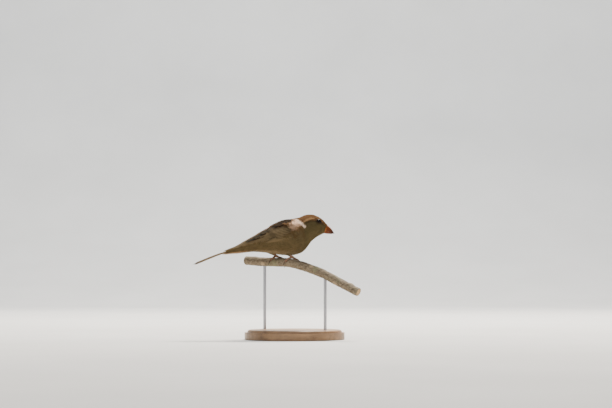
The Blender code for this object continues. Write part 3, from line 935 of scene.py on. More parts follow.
def eye_ring(rng):
    """Very small feathers that start at the lids, part ahead of the eye and spread behind it."""
    counts, near = zip(*EYE_RINGS.values())
    rows = np.repeat(list(EYE_RINGS), counts) * MM
    turn = [(np.arange(n) + 0.5 * (k % 2)) * TURN / n for k, n in enumerate(counts)]
    turn = np.concatenate(turn) - math.pi
    turn = turn + rng.normal(0, 0.03, len(turn))
    _, _, per_u, per_v = BODY.read(EYE_U, EYE_V)
    heading = 0.5 * turn + rng.normal(0, 0.08, len(turn))
    outer = gate(rows, 2.3 * MM, 3.4 * MM)
    length = np.tile(mix(0.75, 1.6, outer) * MM * (1 - 0.25 * np.abs(turn) / math.pi), 2)
    side = np.repeat([1, -1], len(turn))
    u = np.tile(EYE_U + rows * np.cos(turn) / per_u, 2)
    v = side * np.tile(EYE_V + rows * np.sin(turn) * np.where(turn < 0, EYE_TOP, 1) / per_v, 2)
    count = len(u)
    half = np.full((count, 2), 0.27 * MM)
    start = each(np.tile(mix(-0.06, -0.40, outer), 2)) * MM
    tip = each(0.07 + rng.normal(0, 0.02, count)) * MM
    tuft = tuft_shape(count, 3, 0.55, rng)

    def height(t, across, uu, vv):
        down = (np.abs(vv) - EYE_V) * per_v
        off = np.hypot((uu - EYE_U) * per_u, np.where(down < 0, down / EYE_TOP, down))
        mound = 0.36 * MM * bell(np.maximum(off - 2.35 * MM, 0), 0.42 * MM)
        return mound + mix(start, tip, smooth_step(t / 0.7)) + 0.03 * MM * (1 - across**2)

    spine = straight_spine(u, v, length, side * np.tile(heading, 2), BODY)
    tones = markings(u, v)[:, None, None, :] * uneven(count, 0.06, rng)
    tones = tones * mix(each(np.tile(np.repeat(near, counts), 2), 3), 1.0, 0.6 * tuft[0][..., None])
    soft_piece("coat_eye_ring", BODY, spine, tuft, height, length, half, tones, (u, v), "plumage_head", rng)


def make_body_coat():
    """Contour feathers outside the folded wings, aside on the flanks, then the rump's and the scapulars."""
    rng = np.random.default_rng(SEEDS["body"])
    u, v, gap = lattice(bpy.context.scene.sparrow_sizes.body_columns, 4.35, 9.9, 1.15, rng)
    d = np.degrees(np.abs(v))
    fore, low = u < 6.6, d > 84
    parts = {
        "coat_nape": fore & ~low, "coat_breast": fore & low, "coat_back": ~fore & ~low,
        "coat_belly": ~fore & (d > 128), "coat_flanks": ~fore & low & (d <= 128),
    }
    aside = -0.42 * span(d, 80, 92, 112, 140) * gate(u, 5.6, 6.6) * (1 - 0.8 * gate(u, 7.8, 9.4))
    for name, part in parts.items():
        part = part & ~under_wing(u, v)
        sizes = body_look(u[part], v[part], gap[part])
        contour_feathers(
            name, u[part], v[part], sizes, "plumage_body", rng, 6, 0.70, aside[part], over_wing=True
        )

    u, v, _ = lattice(56, 9.7, 12.75, 1.9, rng)
    part = ~under_wing(u, v)
    u, v = u[part], v[part]
    contour_feathers("coat_rump", u, v, rump_look(u, v), "plumage_body", rng, over_wing=True)

    u, v = crossed(np.arange(5.1, 7.5, 0.17), np.radians(np.arange(13, 56, 3.8)))
    u, v = u.ravel() + rng.normal(0, 0.05, u.size), v.ravel() + rng.normal(0, 0.022, v.size)
    part = (np.degrees(v) < 56 - 13 * (u - 5.2)) & (np.degrees(v) > 10)
    u, v = np.tile(u[part], 2), np.concatenate([v[part], -v[part]])
    look = scapular_look(u)
    contour_feathers("coat_scapulars", u, v, look, "plumage_body", rng, 6, 0.74, 0.08, over_wing=True)


def make_thighs():
    """Short soft tufts round the top of each shank, which lie down it and close the gap to the belly."""
    count = 420
    for label in SIDES:
        rng = np.random.default_rng(SEEDS["thighs"])
        pad, leaves, front = shank_ends(label)
        ahead = unit(leaves - pad)
        aside = unit(np.cross(ahead, front))
        over = np.cross(aside, ahead)

        def thigh_point(u, v):
            u, v = np.broadcast_arrays(u, v)
            radius = mix(0.95, 1.7, gate(u, 0.15, 0.7)) * MM
            ring = np.cos(v)[..., None] * over + np.sin(v)[..., None] * aside
            return pad + (leaves - pad) * u[..., None] + ring * radius[..., None]

        chart = Chart(thigh_point, np.linspace(0.02, 1.3, 80), np.linspace(-ROUND, ROUND, 81))
        u, v = rng.uniform(0.24, 0.80, count), rng.uniform(-math.pi, math.pi, count)
        length = rng.uniform(1.0, 1.9, count) * MM
        half = np.tile(rng.uniform(0.26, 0.40, (count, 1)) * MM, 2)
        lift = each(rng.uniform(0.05, 0.30, count)) * MM

        def height(t, across, uu, vv):
            return mix(-0.35 * MM, lift, smooth_step(t / 0.6)) + 0.06 * MM * (1 - across**2)

        tuft = tuft_shape(count, 3, 0.5, rng)
        spine = straight_spine(u, v, length, math.pi + rng.normal(0, 0.2, count), chart)
        # the breast's colour holds painted shade and a painted green reflection
        tones = mix(colour("breast"), colour("belly"), 0.45) * uneven(count, 0.08, rng)
        tones = tones * mix(0.75, 1.1, tuft[0])[..., None]
        name = f"coat_thigh_{label}"
        soft_piece(name, chart, spine, tuft, height, length, half, tones, (u, v), "plumage_body", rng)


# ---------------- wings and tail

# How many feathers each layer has, from the lowest layer to the highest, and for its first and last feather:
# the root's and the tip's place along and across the folded wing, and in millimetres the half width towards
# the back and the belly, and the root's and the tip's height above the body.
WING_FANS = {
    "primaries": (9, (0.30, 0.94, 0.985, 0.78, 1.9, 1.0, 0.45, 0.35),
                  (0.30, 0.76, 0.85, 0.62, 2.4, 1.3, 0.95, 0.85)),
    "secondaries": (6, (0.27, 0.74, 0.81, 0.56, 2.7, 1.5, 0.95, 0.85),
                    (0.25, 0.36, 0.72, 0.34, 3.0, 1.6, 1.45, 1.40)),
    "primary_coverts": (6, (0.16, 0.98, 0.50, 0.90, 1.2, 0.8, 1.0, 0.95),
                        (0.17, 0.84, 0.40, 0.78, 1.4, 0.8, 1.3, 1.4)),
    "greater_coverts": (10, (0.08, 0.90, 0.36, 0.82, 1.9, 1.5, 0.9, 1.55),
                        (0.08, 0.10, 0.41, 0.14, 2.3, 1.7, 1.1, 2.1)),
    "tertials": (3, (0.24, 0.40, 0.70, 0.36, 2.9, 3.1, 0.85, 1.6),
                 (0.24, 0.20, 0.50, 0.20, 2.9, 2.9, 1.05, 2.05)),
    "alula": (3, (0.12, 0.97, 0.33, 0.93, 1.1, 0.7, 0.3, 0.8),
              (0.10, 0.92, 0.25, 0.90, 1.1, 0.7, 0.5, 1.1)),
    "median_coverts": (10, (0.01, 0.92, 0.165, 0.90, 1.8, 1.6, -0.7, 1.45),
                       (0.01, 0.12, 0.175, 0.08, 1.8, 1.6, -0.5, 1.9)),
}
WING_TIPS = {  # tips that don't run evenly, by their column in the rows
    "primaries": {
        2: (0.965, 0.985, 0.995, 0.985, 0.96, 0.93, 0.895, 0.86, 0.83),
        3: (0.74, 0.62, 0.52, 0.46, 0.46, 0.48, 0.50, 0.52, 0.53),
    },
    "tertials": {2: (0.71, 0.61, 0.50)},
}
WING_FORMS = {  # (base, shoulder, power, sweep, fray), rings, paleness of belly edge, back edge and tip
    "primaries": ((0.55, 0.86, 2.0, 0.9, 0.05), 70, (0.65, 0.1, 0.3)),
    "secondaries": ((0.55, 0.88, 2.4, 0.8, 0.05), 60, (0.65, 0.1, 0.35)),
    "primary_coverts": ((0.55, 0.75, 2.0, 0.8, 0.06), 28, (0.45, 0.1, 0.2)),
    "greater_coverts": ((0.55, 0.78, 2.4, 0.7, 0.07), 36, (0.65, 0.25, 0.55)),
    "tertials": ((0.50, 0.80, 2.2, 0.7, 0.06), 56, (0.65, 0.3, 0.5)),
    "alula": ((0.60, 0.80, 2.0, 0.8, 0.05), 28, (0.6, 0.1, 0.3)),
}
MEDIAN_FORM = (0.60, 0.55, 1.7, 0.6, 0.16)
TAIL_FORM = (0.6, 0.88, 2.0, 0.9, 0.04)
SHAFT_COLUMNS = (-1, -0.92, -0.72, -0.5, -0.28, -0.09, -0.045, 0, 0.045, 0.09, 0.3, 0.55, 0.78, 0.93, 1)
PLAIN_COLUMNS = (-1, -0.7, -0.35, 0, 0.35, 0.7, 1)
TAIL_ARCH = 9.0
TERTIAL_DUSK = 0.24  # the tertials' brightness, as a share of the wing's colour


def wing_rows(kind):
    """One row for each feather of a wing's layer, evenly from the first to the last apart from WING_TIPS."""
    count, first, last = WING_FANS[kind]
    rows = mix(np.array(first), np.array(last), np.linspace(0, 1, count)[:, None])
    for column, places in WING_TIPS.get(kind, {}).items():
        rows[:, column] = places
    return rows


def wing_spine(rows, side):
    """Spines that bend from root to tip over the folded wing, in body (u, v) of one side."""
    root_p, root_q, tip_p, tip_q = (each(rows[:, k]) for k in range(4))

    def spine(t):
        u, v = wing_to_body(mix(root_p, tip_p, t), mix(root_q, tip_q, np.clip(t, 0, 2) ** 1.25))
        return u, v * side

    return spine


def spine_length(chart, spine, count):
    """Length of each spine, from its places at nine spots."""
    t = np.broadcast_to(np.linspace(0, 1, 9)[None, :, None], (count, 9, 1))
    place = chart.read(*spine(t))[0][:, :, 0]
    return np.linalg.norm(np.diff(place, axis=1), axis=-1).sum(axis=1)


def quill(low, high, arch, tilt, shaft):
    """Height of a large feather: from low to high, arched and tilted across, with a raised shaft."""
    low, high = each(low), each(high)

    def height(t, down, u, v):
        ridge = shaft * bell(down, 0.06) * (1 - 0.8 * t)
        return mix(low, high, smooth_step(t)) + arch * (1 - down**2) + tilt * down + ridge

    return height


def flight_colours(base, edge, pale, along, down, length, half, rng):
    """A flight feather's colours: dark, with pale edges of a steady width, a paler tip and a dark shaft."""
    own = uneven(len(length), 0.05, rng)
    rim_at = 1 - 0.55 * MM / np.where(down < 0, each(half[:, 0]), each(half[:, 1]))
    belly = pale[0] * smooth_step((down - rim_at) / (1 - rim_at) + 0.5) * (down > 0)
    back = pale[1] * smooth_step((-down - rim_at) / (1 - rim_at) + 0.5) * (down < 0)
    tip = pale[2] * gate(along, 1 - 0.9 * MM / each(length), 1.0)
    share = np.clip(np.maximum(belly, back) + tip, 0, 1)[..., None]
    inner = base * own * mix(1.0, 0.82, gate(-down, 0.1, 0.9)[..., None])
    return mix(mix(inner, edge * own, share), base * 0.55, 0.6 * bell(down, 0.05)[..., None])


def strip_spots(count):
    """Corners of a grid of equal patches of the map for a few large feathers, and the size of each."""
    columns = math.ceil(math.sqrt(count))
    rows = math.ceil(count / columns)
    k = np.arange(count)
    corner = np.stack([(k % columns) / columns, (k // columns) / rows], axis=1)
    return corner, np.array([1 / columns, 1 / rows]) * 0.94


def large_feathers(name, chart, spine, sizes, form, rings, columns, lift, tones, slot, rng, side, *nodes):
    """A piece of a few large feathers, each with its own wide patch of the map.

    sizes are rows of (half width towards the back, towards the belly, height of root, of tip), millimetres.
    lift is (arch, tilt, shaft), and tones gives the colours from t, down, length and half width.
    """
    half, count = sizes[:, 0:2] * MM, len(sizes)
    length = spine_length(chart, spine, count)
    height = quill(sizes[:, 2] * MM, sizes[:, 3] * MM, *lift)
    along, across = vane_shape(length, half, form, rings, columns, rng)
    points, down = placed(chart, spine, along, across, half, height, side)
    colours = tones(along, down, length, half)
    spots, patch = strip_spots(count)
    piece = coat_piece(name, points, along, down, length, half, colours, spots, rng, patch)
    fit_out(piece, plumage_material("flight_plumage"), slot, *nodes)


def make_wings():
    """Both folded wings, whose feathers grow darker from the belly's side to the back's."""
    lift = (0.10 * MM, 0.16 * MM, 0.06 * MM)
    for label, side in SIDES.items():
        rng = np.random.default_rng(SEEDS["wings"])
        for kind, (form, rings, pale) in WING_FORMS.items():
            rows = wing_rows(kind)
            dusk = mix(0.22, 0.9, gate(rows[:, 1], 0.12, 0.42))
            dusk = each(dusk if kind != "tertials" else np.full(len(rows), TERTIAL_DUSK), 3)
            edge = mix(colour("mantle"), colour("wing_edge"), 0.4 + 0.6 * gate(dusk, 0.3, 0.8))

            def tones(along, down, length, half):
                return flight_colours(colour("wing") * dusk, edge, pale, along, down, length, half, rng)

            large_feathers(
                f"{kind}_{label}", BODY, wing_spine(rows, side), rows[:, 4:8], form, rings, SHAFT_COLUMNS,
                lift, tones, "plumage_wing", rng, side, f"wing_{label}"
            )
        median_coverts(label, side, rng)
        lesser_coverts(label, side, rng)


def median_coverts(label, side, rng):
    """Short round coverts in one row, each a little paler towards its tip."""
    rows = wing_rows("median_coverts")[:-2]
    count = len(rows)

    def tones(along, down, length, half):
        reach = each(rng.uniform(0.70, 0.84, count))
        pale = each(rng.uniform(0.04, 0.18, count)) * gate(along + 0.10 * np.abs(down), reach, reach + 0.16)
        return mix(colour("wing"), colour("pale_edge"), pale[..., None]) * uneven(count, 0.06, rng)

    large_feathers(
        f"median_coverts_{label}", BODY, wing_spine(rows, side), rows[:, 4:8], MEDIAN_FORM, 26,
        PLAIN_COLUMNS, (0.16 * MM, 0.10 * MM, 0.03 * MM), tones, "plumage_wing", rng, side, f"wing_{label}"
    )


def lesser_coverts(label, side, rng):
    """Rows of small feathers that shingle the wing's bend."""
    p, q = crossed(np.arange(-0.075, 0.085, 0.0145), np.linspace(0.0, 0.99, 19))
    q = q + 0.026 * (np.arange(len(p)) % 2)[:, None]
    p, q = p.ravel() + rng.normal(0, 0.003, p.size), q.ravel() + rng.normal(0, 0.010, q.size)
    count = len(p)
    spine = wing_spine(np.stack([p, q, p + 0.072, q * 0.96 + 0.01], axis=1), side)
    length = spine_length(BODY, spine, count)
    half = np.full((count, 2), 1.15 * MM)
    low = np.interp(p, (-0.075, 0.0, 0.08), (-1.9, -0.7, 0.5))
    high = np.interp(p, (-0.075, 0.0, 0.08), (0.15, 1.2, 1.95)) + rng.normal(0, 0.04, count)
    height = quill(low * MM, high * MM, 0.10 * MM, 0.04 * MM, 0)
    along, across = tuft_shape(count, 5, 0.66, rng)
    at_u, at_v = (x[:, 0, 0] for x in spine(0.75))
    base = markings(at_u + rng.normal(0, 0.13, count), at_v + rng.normal(0, 0.06, count))
    # half the cheek's colour, which holds painted shade and a painted green reflection
    plain = mix(colour("mantle"), colour("cheek"), 0.5)
    base = mix(base, plain, 0.75 * gate(p, -0.03, 0.05)[:, None])[:, None, None, :]
    rim = np.maximum(gate(np.abs(across), 0.45, 1.0), gate(along, 0.70, 1.0))[..., None]
    tones = mix(base * 0.82, base * 1.22, rim) * uneven(count, 0.08, rng)
    soft_piece(
        f"lesser_coverts_{label}", BODY, spine, (along, across), height, length, half, tones, (p, q),
        "plumage_wing", rng, side, (f"wing_{label}",)
    )


def tail_point(u, w):
    """The tail's middle sheet: as high as the stations, and lower with the square of w, the way left."""
    row = through(ROWS, u) * MM
    middle = (row[..., 0:2] + row[..., 2:4]) / 2
    return settle(stacked(middle[..., 0], w, middle[..., 1] - TAIL_ARCH * w**2), u)


def make_tail():
    """Twelve tail feathers, the middle pair on top and the outer below, whose tips leave a shallow notch."""
    chart = Chart(tail_point, np.linspace(11, 15, 161), np.linspace(-14, 14, 57) * MM)
    rng = np.random.default_rng(SEEDS["tail"])
    number = np.arange(6)
    edge = mix(colour("tail"), colour("wing_edge"), 0.75)
    for layer, (label, side) in enumerate(SIDES.items()):
        root_u, root_w = each(np.full(6, 11.9)), each(side * (0.5 + 0.42 * number) * MM)
        tip_u, tip_w = each(14.87 + 0.022 * number), each(side * (1.35 + 1.02 * number) * MM)

        def spine(t):
            return mix(root_u, tip_u, t), mix(root_w, tip_w, t)

        def tones(along, down, length, half):
            return flight_colours(colour("tail"), edge, (0.8, 0.35, 0.3), along, down, length, half, rng)

        high = 0.50 - 0.17 * number - 0.05 * layer
        sizes = np.stack([np.full(6, 2.25), np.full(6, 1.7), high + 0.55, high], axis=1)
        large_feathers(
            f"tail_feathers_{label}", chart, spine, sizes, TAIL_FORM, 64, SHAFT_COLUMNS,
            (0.05 * MM, -0.05 * MM, 0.06 * MM), tones, "plumage_tail", rng, side, "tail"
        )


# ---------------- tubes, skin and legs


def tube(line, over, radius, sides, relief=None, close=3):
    """A closed tube along a line: rings square to it, counted from the direction `over`, with rounded ends.

    A ring is radius times (1 + relief(distance along, angle)), and the end rings shrink along a quarter
    circle. Returns the grid and the distance along of each ring.
    """
    ahead = unit(np.gradient(line, axis=0))
    ends = np.sin(np.linspace(0, math.pi / 2, close + 2))[1:-1]
    back = np.sqrt(1 - ends**2)
    first = line[0] - ahead[0] * radius[0] * back[:, None]
    last = (line[-1] + ahead[-1] * radius[-1] * back[:, None])[::-1]
    radius = np.concatenate([radius[0] * ends, radius, radius[-1] * ends[::-1]])
    over = np.broadcast_to(over, line.shape)
    ahead, over = (np.pad(x, ((close, close), (0, 0)), "edge") for x in (ahead, over))
    line = np.concatenate([first, line, last])
    aside = unit(np.cross(ahead, over))
    over = np.cross(aside, ahead)
    angle = np.arange(sides) * TURN / sides
    distance = np.concatenate([[0], np.cumsum(np.linalg.norm(np.diff(line, axis=0), axis=1))])
    size = radius[:, None] * (1 + (relief(distance[:, None], angle[None, :]) if relief else 0 * angle))
    ring = np.cos(angle)[:, None] * over[:, None, :] + np.sin(angle)[:, None] * aside[:, None, :]
    return line[:, None, :] + ring * size[..., None], distance


def tube_piece(name, grid, sharp=60, copies=1):
    """A closed piece from a grid of rings, or from a stack of such grids."""
    rows, sides = grid.shape[-3:-1]
    ids = np.arange(rows * sides).reshape(rows, sides)
    return new_piece(name, grid, grid_faces(rows, sides, wrap=True), [ids[0, ::-1], ids[-1]], copies, sharp)


def step_along(side):
    """How far along x a foot's middle stands on the branch."""
    return FOOT_STEP[side] * math.cos(PERCH_TURN)


def toe_line(side, kind, start, reach, count, arch=0.0):
    """A toe's or claw's line: round the branch and along it at a slant, lifted by arch in its middle.

    Returns the points, the radius at each and the direction away from the branch.
    """
    length, thick, thin, fan, way = TOES[kind]
    distance = np.linspace(start, reach, count)
    radius = np.interp(distance, [0, length * MM], [thick * MM, thin * MM])
    off = PERCH_RADIUS + GAP + radius + arch * np.sin(math.pi * (distance - start) / (reach - start))
    slant = math.radians(TOE_SLANT + (fan if side == "right" else -fan))
    along = way * distance * math.sin(slant) * math.cos(PERCH_TURN)
    origin, _, up, far = perch_axes(step_along(side) + along)
    turn = way * distance * math.cos(slant) / (PERCH_RADIUS + GAP + thick * MM)
    away = np.cos(turn)[:, None] * up + np.sin(turn)[:, None] * far
    return origin + off[:, None] * away + FEET, radius, away


def shank_ends(side):
    """The middle of a foot's pad, where its shank leaves the body, and the way that the bird faces there."""
    origin, _, up, _ = perch_axes(np.array([step_along(side)]))
    pad = (origin + up * (PERCH_RADIUS + GAP + PAD_RADIUS) + FEET)[0]
    leaves = settle(np.array(LEG_LEAVES[side]) * MM, BELLY)
    return pad, leaves, settle(np.array([1.0, 0, 0]), BELLY) - settle(np.zeros(3), BELLY)


def toe_relief(distance, angle):
    """Overlapping scutes on top of a toe and soft round pads beneath it."""
    top = gate(np.cos(angle), -0.1, 0.5)
    scute = (distance / TOE_SCUTE) % 1
    pads = 0.10 * np.abs(np.sin(math.pi * distance / (2.3 * MM))) - 0.05
    return top * (0.11 * scute**1.5 - 0.03) + (1 - top) * pads


def shank_relief(distance, angle):
    """Long overlapping scutes down the front of a shank, and a smooth keel behind it."""
    front = gate(np.cos(angle), -0.2, 0.4)
    scute = (distance / SHANK_SCUTE) % 1
    return front * (0.12 * scute**2 - 0.04) + (1 - front) * (0.10 * gate(-np.cos(angle), 0.7, 1.0) - 0.06)


def leg_tubes(side):
    """Grids of one leg: shank, pad and four toes, each with its rings' distances along."""
    pad, leaves, front = shank_ends(side)
    share = np.linspace(0, 1.30, 90)
    radius = (0.98 + 0.30 * bell(share, 0.10) + 1.1 * gate(share, 0.72, 1.3)) * MM
    found = {"shank": tube(pad + (leaves - pad) * share[:, None], front, radius, 32, shank_relief)}
    turned = np.linspace(-0.9, 0.9, 9)
    _, forward, up, _ = perch_axes(np.array([step_along(side)]))
    sole = pad + forward * turned[:, None] * PAD_RADIUS * 0.6
    found["pad"] = tube(sole, up[0], np.sqrt(1 - turned**2 * 0.4) * PAD_RADIUS * 1.02, 24)
    for kind, toe in TOES.items():
        points, thick, away = toe_line(side, kind, 0, toe[0] * MM, 70)
        joints = 3 if kind != "hind" else 2
        swell = 0.09 * np.abs(np.cos(np.linspace(0, joints * math.pi, 70)))
        found[kind] = tube(points, away, thick * (0.96 + swell), 24, toe_relief)
    return found


LID_SIDES = 192
LID_FOLDS = 24
LID_SECTION = np.array([  # millimetres outside the opening and up, from the eyeball (0) or the coat (1)
    (0.00, -0.02, 0.0), (0.02, 0.07, 0.0), (0.07, 0.13, 0.0), (0.15, 0.14, 0.0), (0.23, 0.09, 0.0),
    (0.29, 0.03, 0.0), (0.36, 0.03, 0.2), (0.46, -0.06, 0.8), (0.70, -0.30, 1.0), (1.05, -0.65, 1.0),
    (1.45, -1.10, 1.0), (1.20, -1.70, 1.0), (0.60, -1.60, 1.0), (0.10, -1.40, 1.0), (0.00, -0.50, 0.0),
])


def lid_rings(label, side):
    """A closed ring of lid round an eye: its almond opening lies on the eyeball, its rim sinks in the skin.

    Round the eye's axis the opening's radius is 1 / sqrt((cos/a)^2 + (sin/b)^2), and each ring of the
    section is given by how far it lies outside that, and how far above the eyeball or the coat.
    """
    centre = eye_centre(label)
    spot, out, _, _ = BODY.read(EYE_U, EYE_V * side)
    ahead = BODY.read(EYE_U - 0.05, EYE_V * side)[0] - spot
    ahead = unit(ahead - out * (ahead @ out))
    up = np.cross(ahead, out) * -side
    ball = EYE_RADIUS + 0.05 * MM
    a = bpy.context.scene.sparrow_sizes.eye_opening / 2
    b = a * 0.90
    turn = np.linspace(0, TURN, LID_SIDES, endpoint=False)
    opening = 1 / np.sqrt((np.cos(turn) / a) ** 2 + (np.sin(turn) / b) ** 2)
    opening = opening + 0.08 * MM * np.abs(np.cos(turn)) ** 14
    rise = np.sin(turn) * np.where(np.sin(turn) * up[2] > 0, EYE_TOP, 1)
    from_axis = np.minimum(opening * np.hypot(np.cos(turn), rise), 0.97 * ball)
    on_ball = np.sqrt(ball**2 - from_axis**2)
    outside, high, base = (LID_SECTION[:, k:k + 1] for k in range(3))
    reach = opening[None, :] + outside * MM
    height = mix(on_ball[None, :], (spot - centre) @ out, base) + high * MM
    crease = 0.03 * MM * np.abs(np.sin(turn * LID_FOLDS))[None, :] * band(outside, 0.16, 0.12, 0.1)
    way = np.cos(turn)[:, None] * ahead + rise[:, None] * up
    return centre + way[None] * reach[..., None] + out * (height + crease)[..., None]


def ball_grid(centre, radius, axis, rings, sides):
    """A sphere's rings from the pole on its axis to the other."""
    first = unit(np.cross(axis, [0.0, 0, 1]))
    second = np.cross(axis, first)
    polar = np.linspace(0.012, math.pi - 0.012, rings)[:, None, None]
    turn = np.linspace(0, TURN, sides, endpoint=False)[None, :, None]
    way = np.cos(polar) * axis + np.sin(polar) * (np.cos(turn) * first + np.sin(turn) * second)
    return centre + way * radius


END_RINGS = 7  # rings that close each end of the skin's tube
STRIPS = 14  # strips of the skin's map for shanks, pads, toes and lids


def strip_of_map(strip, along, across):
    """Places in one of the strips beside the body's own part of the skin's map."""
    return stacked(0.77 + 0.22 * along, (strip + 0.9 * across) / STRIPS).reshape(-1, 2)


def body_tube():
    """Head, neck and trunk as a closed tube at the skin's depth under the coat, with the coat's markings."""
    u = np.linspace(*SKIN_REACH, 190)
    v = np.linspace(-math.pi, math.pi, 176, endpoint=False)
    place, out, _, _ = BODY.read(u[:, None], v[None, :])
    grid = place - out * (np.interp(u, *SKIN_DEPTH) * MM)[:, None, None]
    middle = grid.mean(axis=1, keepdims=True)
    closing = np.linspace(0, math.pi / 2, END_RINGS + 1)[1:, None, None]
    shrink, push = np.maximum(np.cos(closing), 0.02), np.sin(closing) * MM
    front = middle[:1] + (grid[:1] - middle[:1]) * shrink + unit(middle[:1] - middle[1:2]) * push * 1.2
    rear = middle[-1:] + (grid[-1:] - middle[-1:]) * shrink + unit(middle[-1:] - middle[-2:-1]) * push
    skin = tube_piece("skin", np.concatenate([front[::-1], grid, rear]), 0)
    u, v = crossed(np.pad(u, END_RINGS, "edge"), v)
    tones = np.concatenate([markings(u, v), np.zeros(u.shape + (1,))], axis=-1)
    share = np.broadcast_to(np.linspace(0, 1, len(u))[:, None], u.shape)
    spots = stacked(0.005 + 0.74 * share, 0.005 + 0.99 * (v + math.pi) / TURN)
    paint_corners(skin, tones.reshape(-1, 4), spots.reshape(-1, 2))
    return skin


def leg_part(name, kind, points, distance, strip):
    """A shank, pad or toe as a closed tube of bare skin, with painted shade in the creases between its
    scutes.
    """
    part = tube_piece(name, points)
    sides = points.shape[1]
    along, around = crossed(distance / distance[-1], np.arange(sides) / sides)
    scute = (distance / (SHANK_SCUTE if kind == "shank" else TOE_SCUTE)) % 1
    # painted shade: darker where one scute overlaps the next, on the top side only
    scute_shade = bell(np.minimum(scute, 1 - scute), 0.10)[:, None]
    scute_shade = scute_shade * gate(np.cos(np.arange(sides) * TURN / sides), -0.2, 0.4)
    tone = colour("leg") * (1 - 0.42 * scute_shade[..., None])
    tone = np.concatenate([tone, np.ones(scute_shade.shape + (1,))], axis=-1)
    paint_corners(part, tone.reshape(-1, 4), strip_of_map(strip, along, around))
    return part


def lid_part(label, side, strip):
    """A ring of lid as a closed piece, dark and half bare."""
    ring = lid_rings(label, side)
    rows, sides = ring.shape[:2]
    near = np.arange(sides)
    far = np.roll(near, -1)
    last = sides * (rows - 1)
    closing = stacked(near + last, far + last, far, near)
    faces = np.concatenate([grid_faces(rows, sides, wrap=True), closing])
    part = new_piece(f"lid_{label}", ring, faces, sharp=0)
    along, around = crossed(np.arange(rows) / rows, near / sides)
    paint_corners(part, [*colour("eye_stripe") * 0.8, 0.15], strip_of_map(strip, around, along))
    return part


def socket_part(label, side):
    """A ball a little larger than the eyeball, which cuts the eye's socket."""
    socket = ball_grid(eye_centre(label), EYE_RADIUS + 0.04 * MM, np.array([0, side, 0.0]), 40, 48)
    part = tube_piece(f"socket_{label}", socket, 0)
    # the cut socket's lining takes the near-black streak colour, as painted shade in the thin gap round the
    # eyeball
    paint_corners(part, [*colour("streak"), 0.5], [0.99, 0.99])
    return part


def make_skin():
    """One closed skin for head, neck, trunk and legs, with lids joined on and sockets cut by Booleans."""
    skin = body_tube()
    joined, cut = (bpy.data.collections.new(name) for name in ("skin_parts", "skin_sockets"))
    for label, side in SIDES.items():
        for kind, (points, distance) in leg_tubes(label).items():
            joined.objects.link(leg_part(f"{kind}_{label}", kind, points, distance, len(joined.objects)))
        joined.objects.link(lid_part(label, side, len(joined.objects)))
        cut.objects.link(socket_part(label, side))
    for operation, tools in (("UNION", joined), ("DIFFERENCE", cut)):
        step = skin.modifiers.new(operation.lower(), "BOOLEAN")
        step.operation, step.operand_type, step.collection = operation, "COLLECTION", tools
        step.solver, step.use_self = "EXACT", operation == "UNION"
    bpy.context.view_layer.update()
    whole = bpy.data.meshes.new_from_object(skin.evaluated_get(bpy.context.evaluated_depsgraph_get()))
    skin.modifiers.clear()
    skin.data = whole
    whole.name = "skin"
    for tools in (joined, cut):
        for part in list(tools.objects):
            bpy.data.objects.remove(part)
        bpy.data.collections.remove(tools)
    whole.shade_smooth()
    whole.set_sharp_from_angle(angle=math.radians(50))
    fit_out(skin, skin_material(), "plumage_body", "head", "neck", "trunk", "leg_left", "leg_right")


def skin_material():
    """Skin: the plumage's markings under the coat, and scaly bare skin where the markings' alpha is 1."""
    n = Nodes("skin")
    marks, bare = n.attribute("markings"), n.attribute("markings", "Alpha")
    fine = n.noise(1800, 4)
    cells = n.add("ShaderNodeTexVoronoi", Vector=n.place(), Scale=1500.0, feature="DISTANCE_TO_EDGE")
    grain = n.ramp(cells.outputs["Distance"], (0.0, 0.80), (0.12, 1.0))
    tone = n.ramp(n.noise(260, 3), (0.3, (0.78, 0.72, 0.70)), (0.7, (1.12, 1.05, 1.0)))
    legs = n.times(n.times(marks, tone), grain)
    down = n.times(marks, n.ramp(fine, (0.3, 0.45), (0.7, 0.95)))
    relief = n.blend(bare, n.ramp(fine, (0.0, 0.0), (1.0, 1.0)), grain)
    return n.finish(
        Base_Color=n.blend(bare, down, legs), Roughness=n.math("MULTIPLY_ADD", bare, -0.38, 0.85),
        Specular_IOR_Level=0.18, Subsurface_Weight=0.06, Subsurface_Scale=0.5 * MM,
        Normal=n.bump(relief, 0.05 * MM, 0.6)
    )


# ---------------- eyes, bill and claws

PUPIL = 0.5  # half angle of the pupil from the eye's axis, in radians
IRIS = 1.0  # half angle of the iris
PUPIL_TONE = np.array([0.004, 0.003, 0.003])
EYE_RIM_TONE = np.array([0.012, 0.009, 0.008])


def make_eyes():
    """Glossy eyeballs: a black pupil in a dark brown iris with fine streaks, by the angle from the axis."""
    count = 96
    n = Nodes("eye_gloss")
    material = n.finish(
        Base_Color=n.attribute("markings"), Roughness=0.08, Coat_Weight=0.08, Coat_Roughness=0.02,
        Specular_IOR_Level=0.08
    )
    polar, turn = crossed(np.linspace(0, math.pi, count), np.arange(count) * TURN / count)
    streaks = 0.75 + 0.25 * np.sin(turn * 31 + 2 * np.sin(turn * 7)) * np.sin(turn * 13)
    shade = streaks * (1 - 0.65 * gate(polar, 0.78, IRIS))
    edge = gate(polar, PUPIL - 0.03, PUPIL + 0.03)[..., None]
    tones = mix(PUPIL_TONE, colour("iris") * shade[..., None], edge)
    tones = mix(tones, EYE_RIM_TONE, gate(polar, IRIS - 0.05, IRIS + 0.05)[..., None])
    for label, side in SIDES.items():
        _, out, _, _ = BODY.read(EYE_U, EYE_V * side)
        ball = ball_grid(eye_centre(label), EYE_RADIUS, out, count, count)
        piece = tube_piece(f"eyeball_{label}", ball, 0)
        paint(piece, tones)
        fit_out(piece, material, "eye", f"eye_{label}")


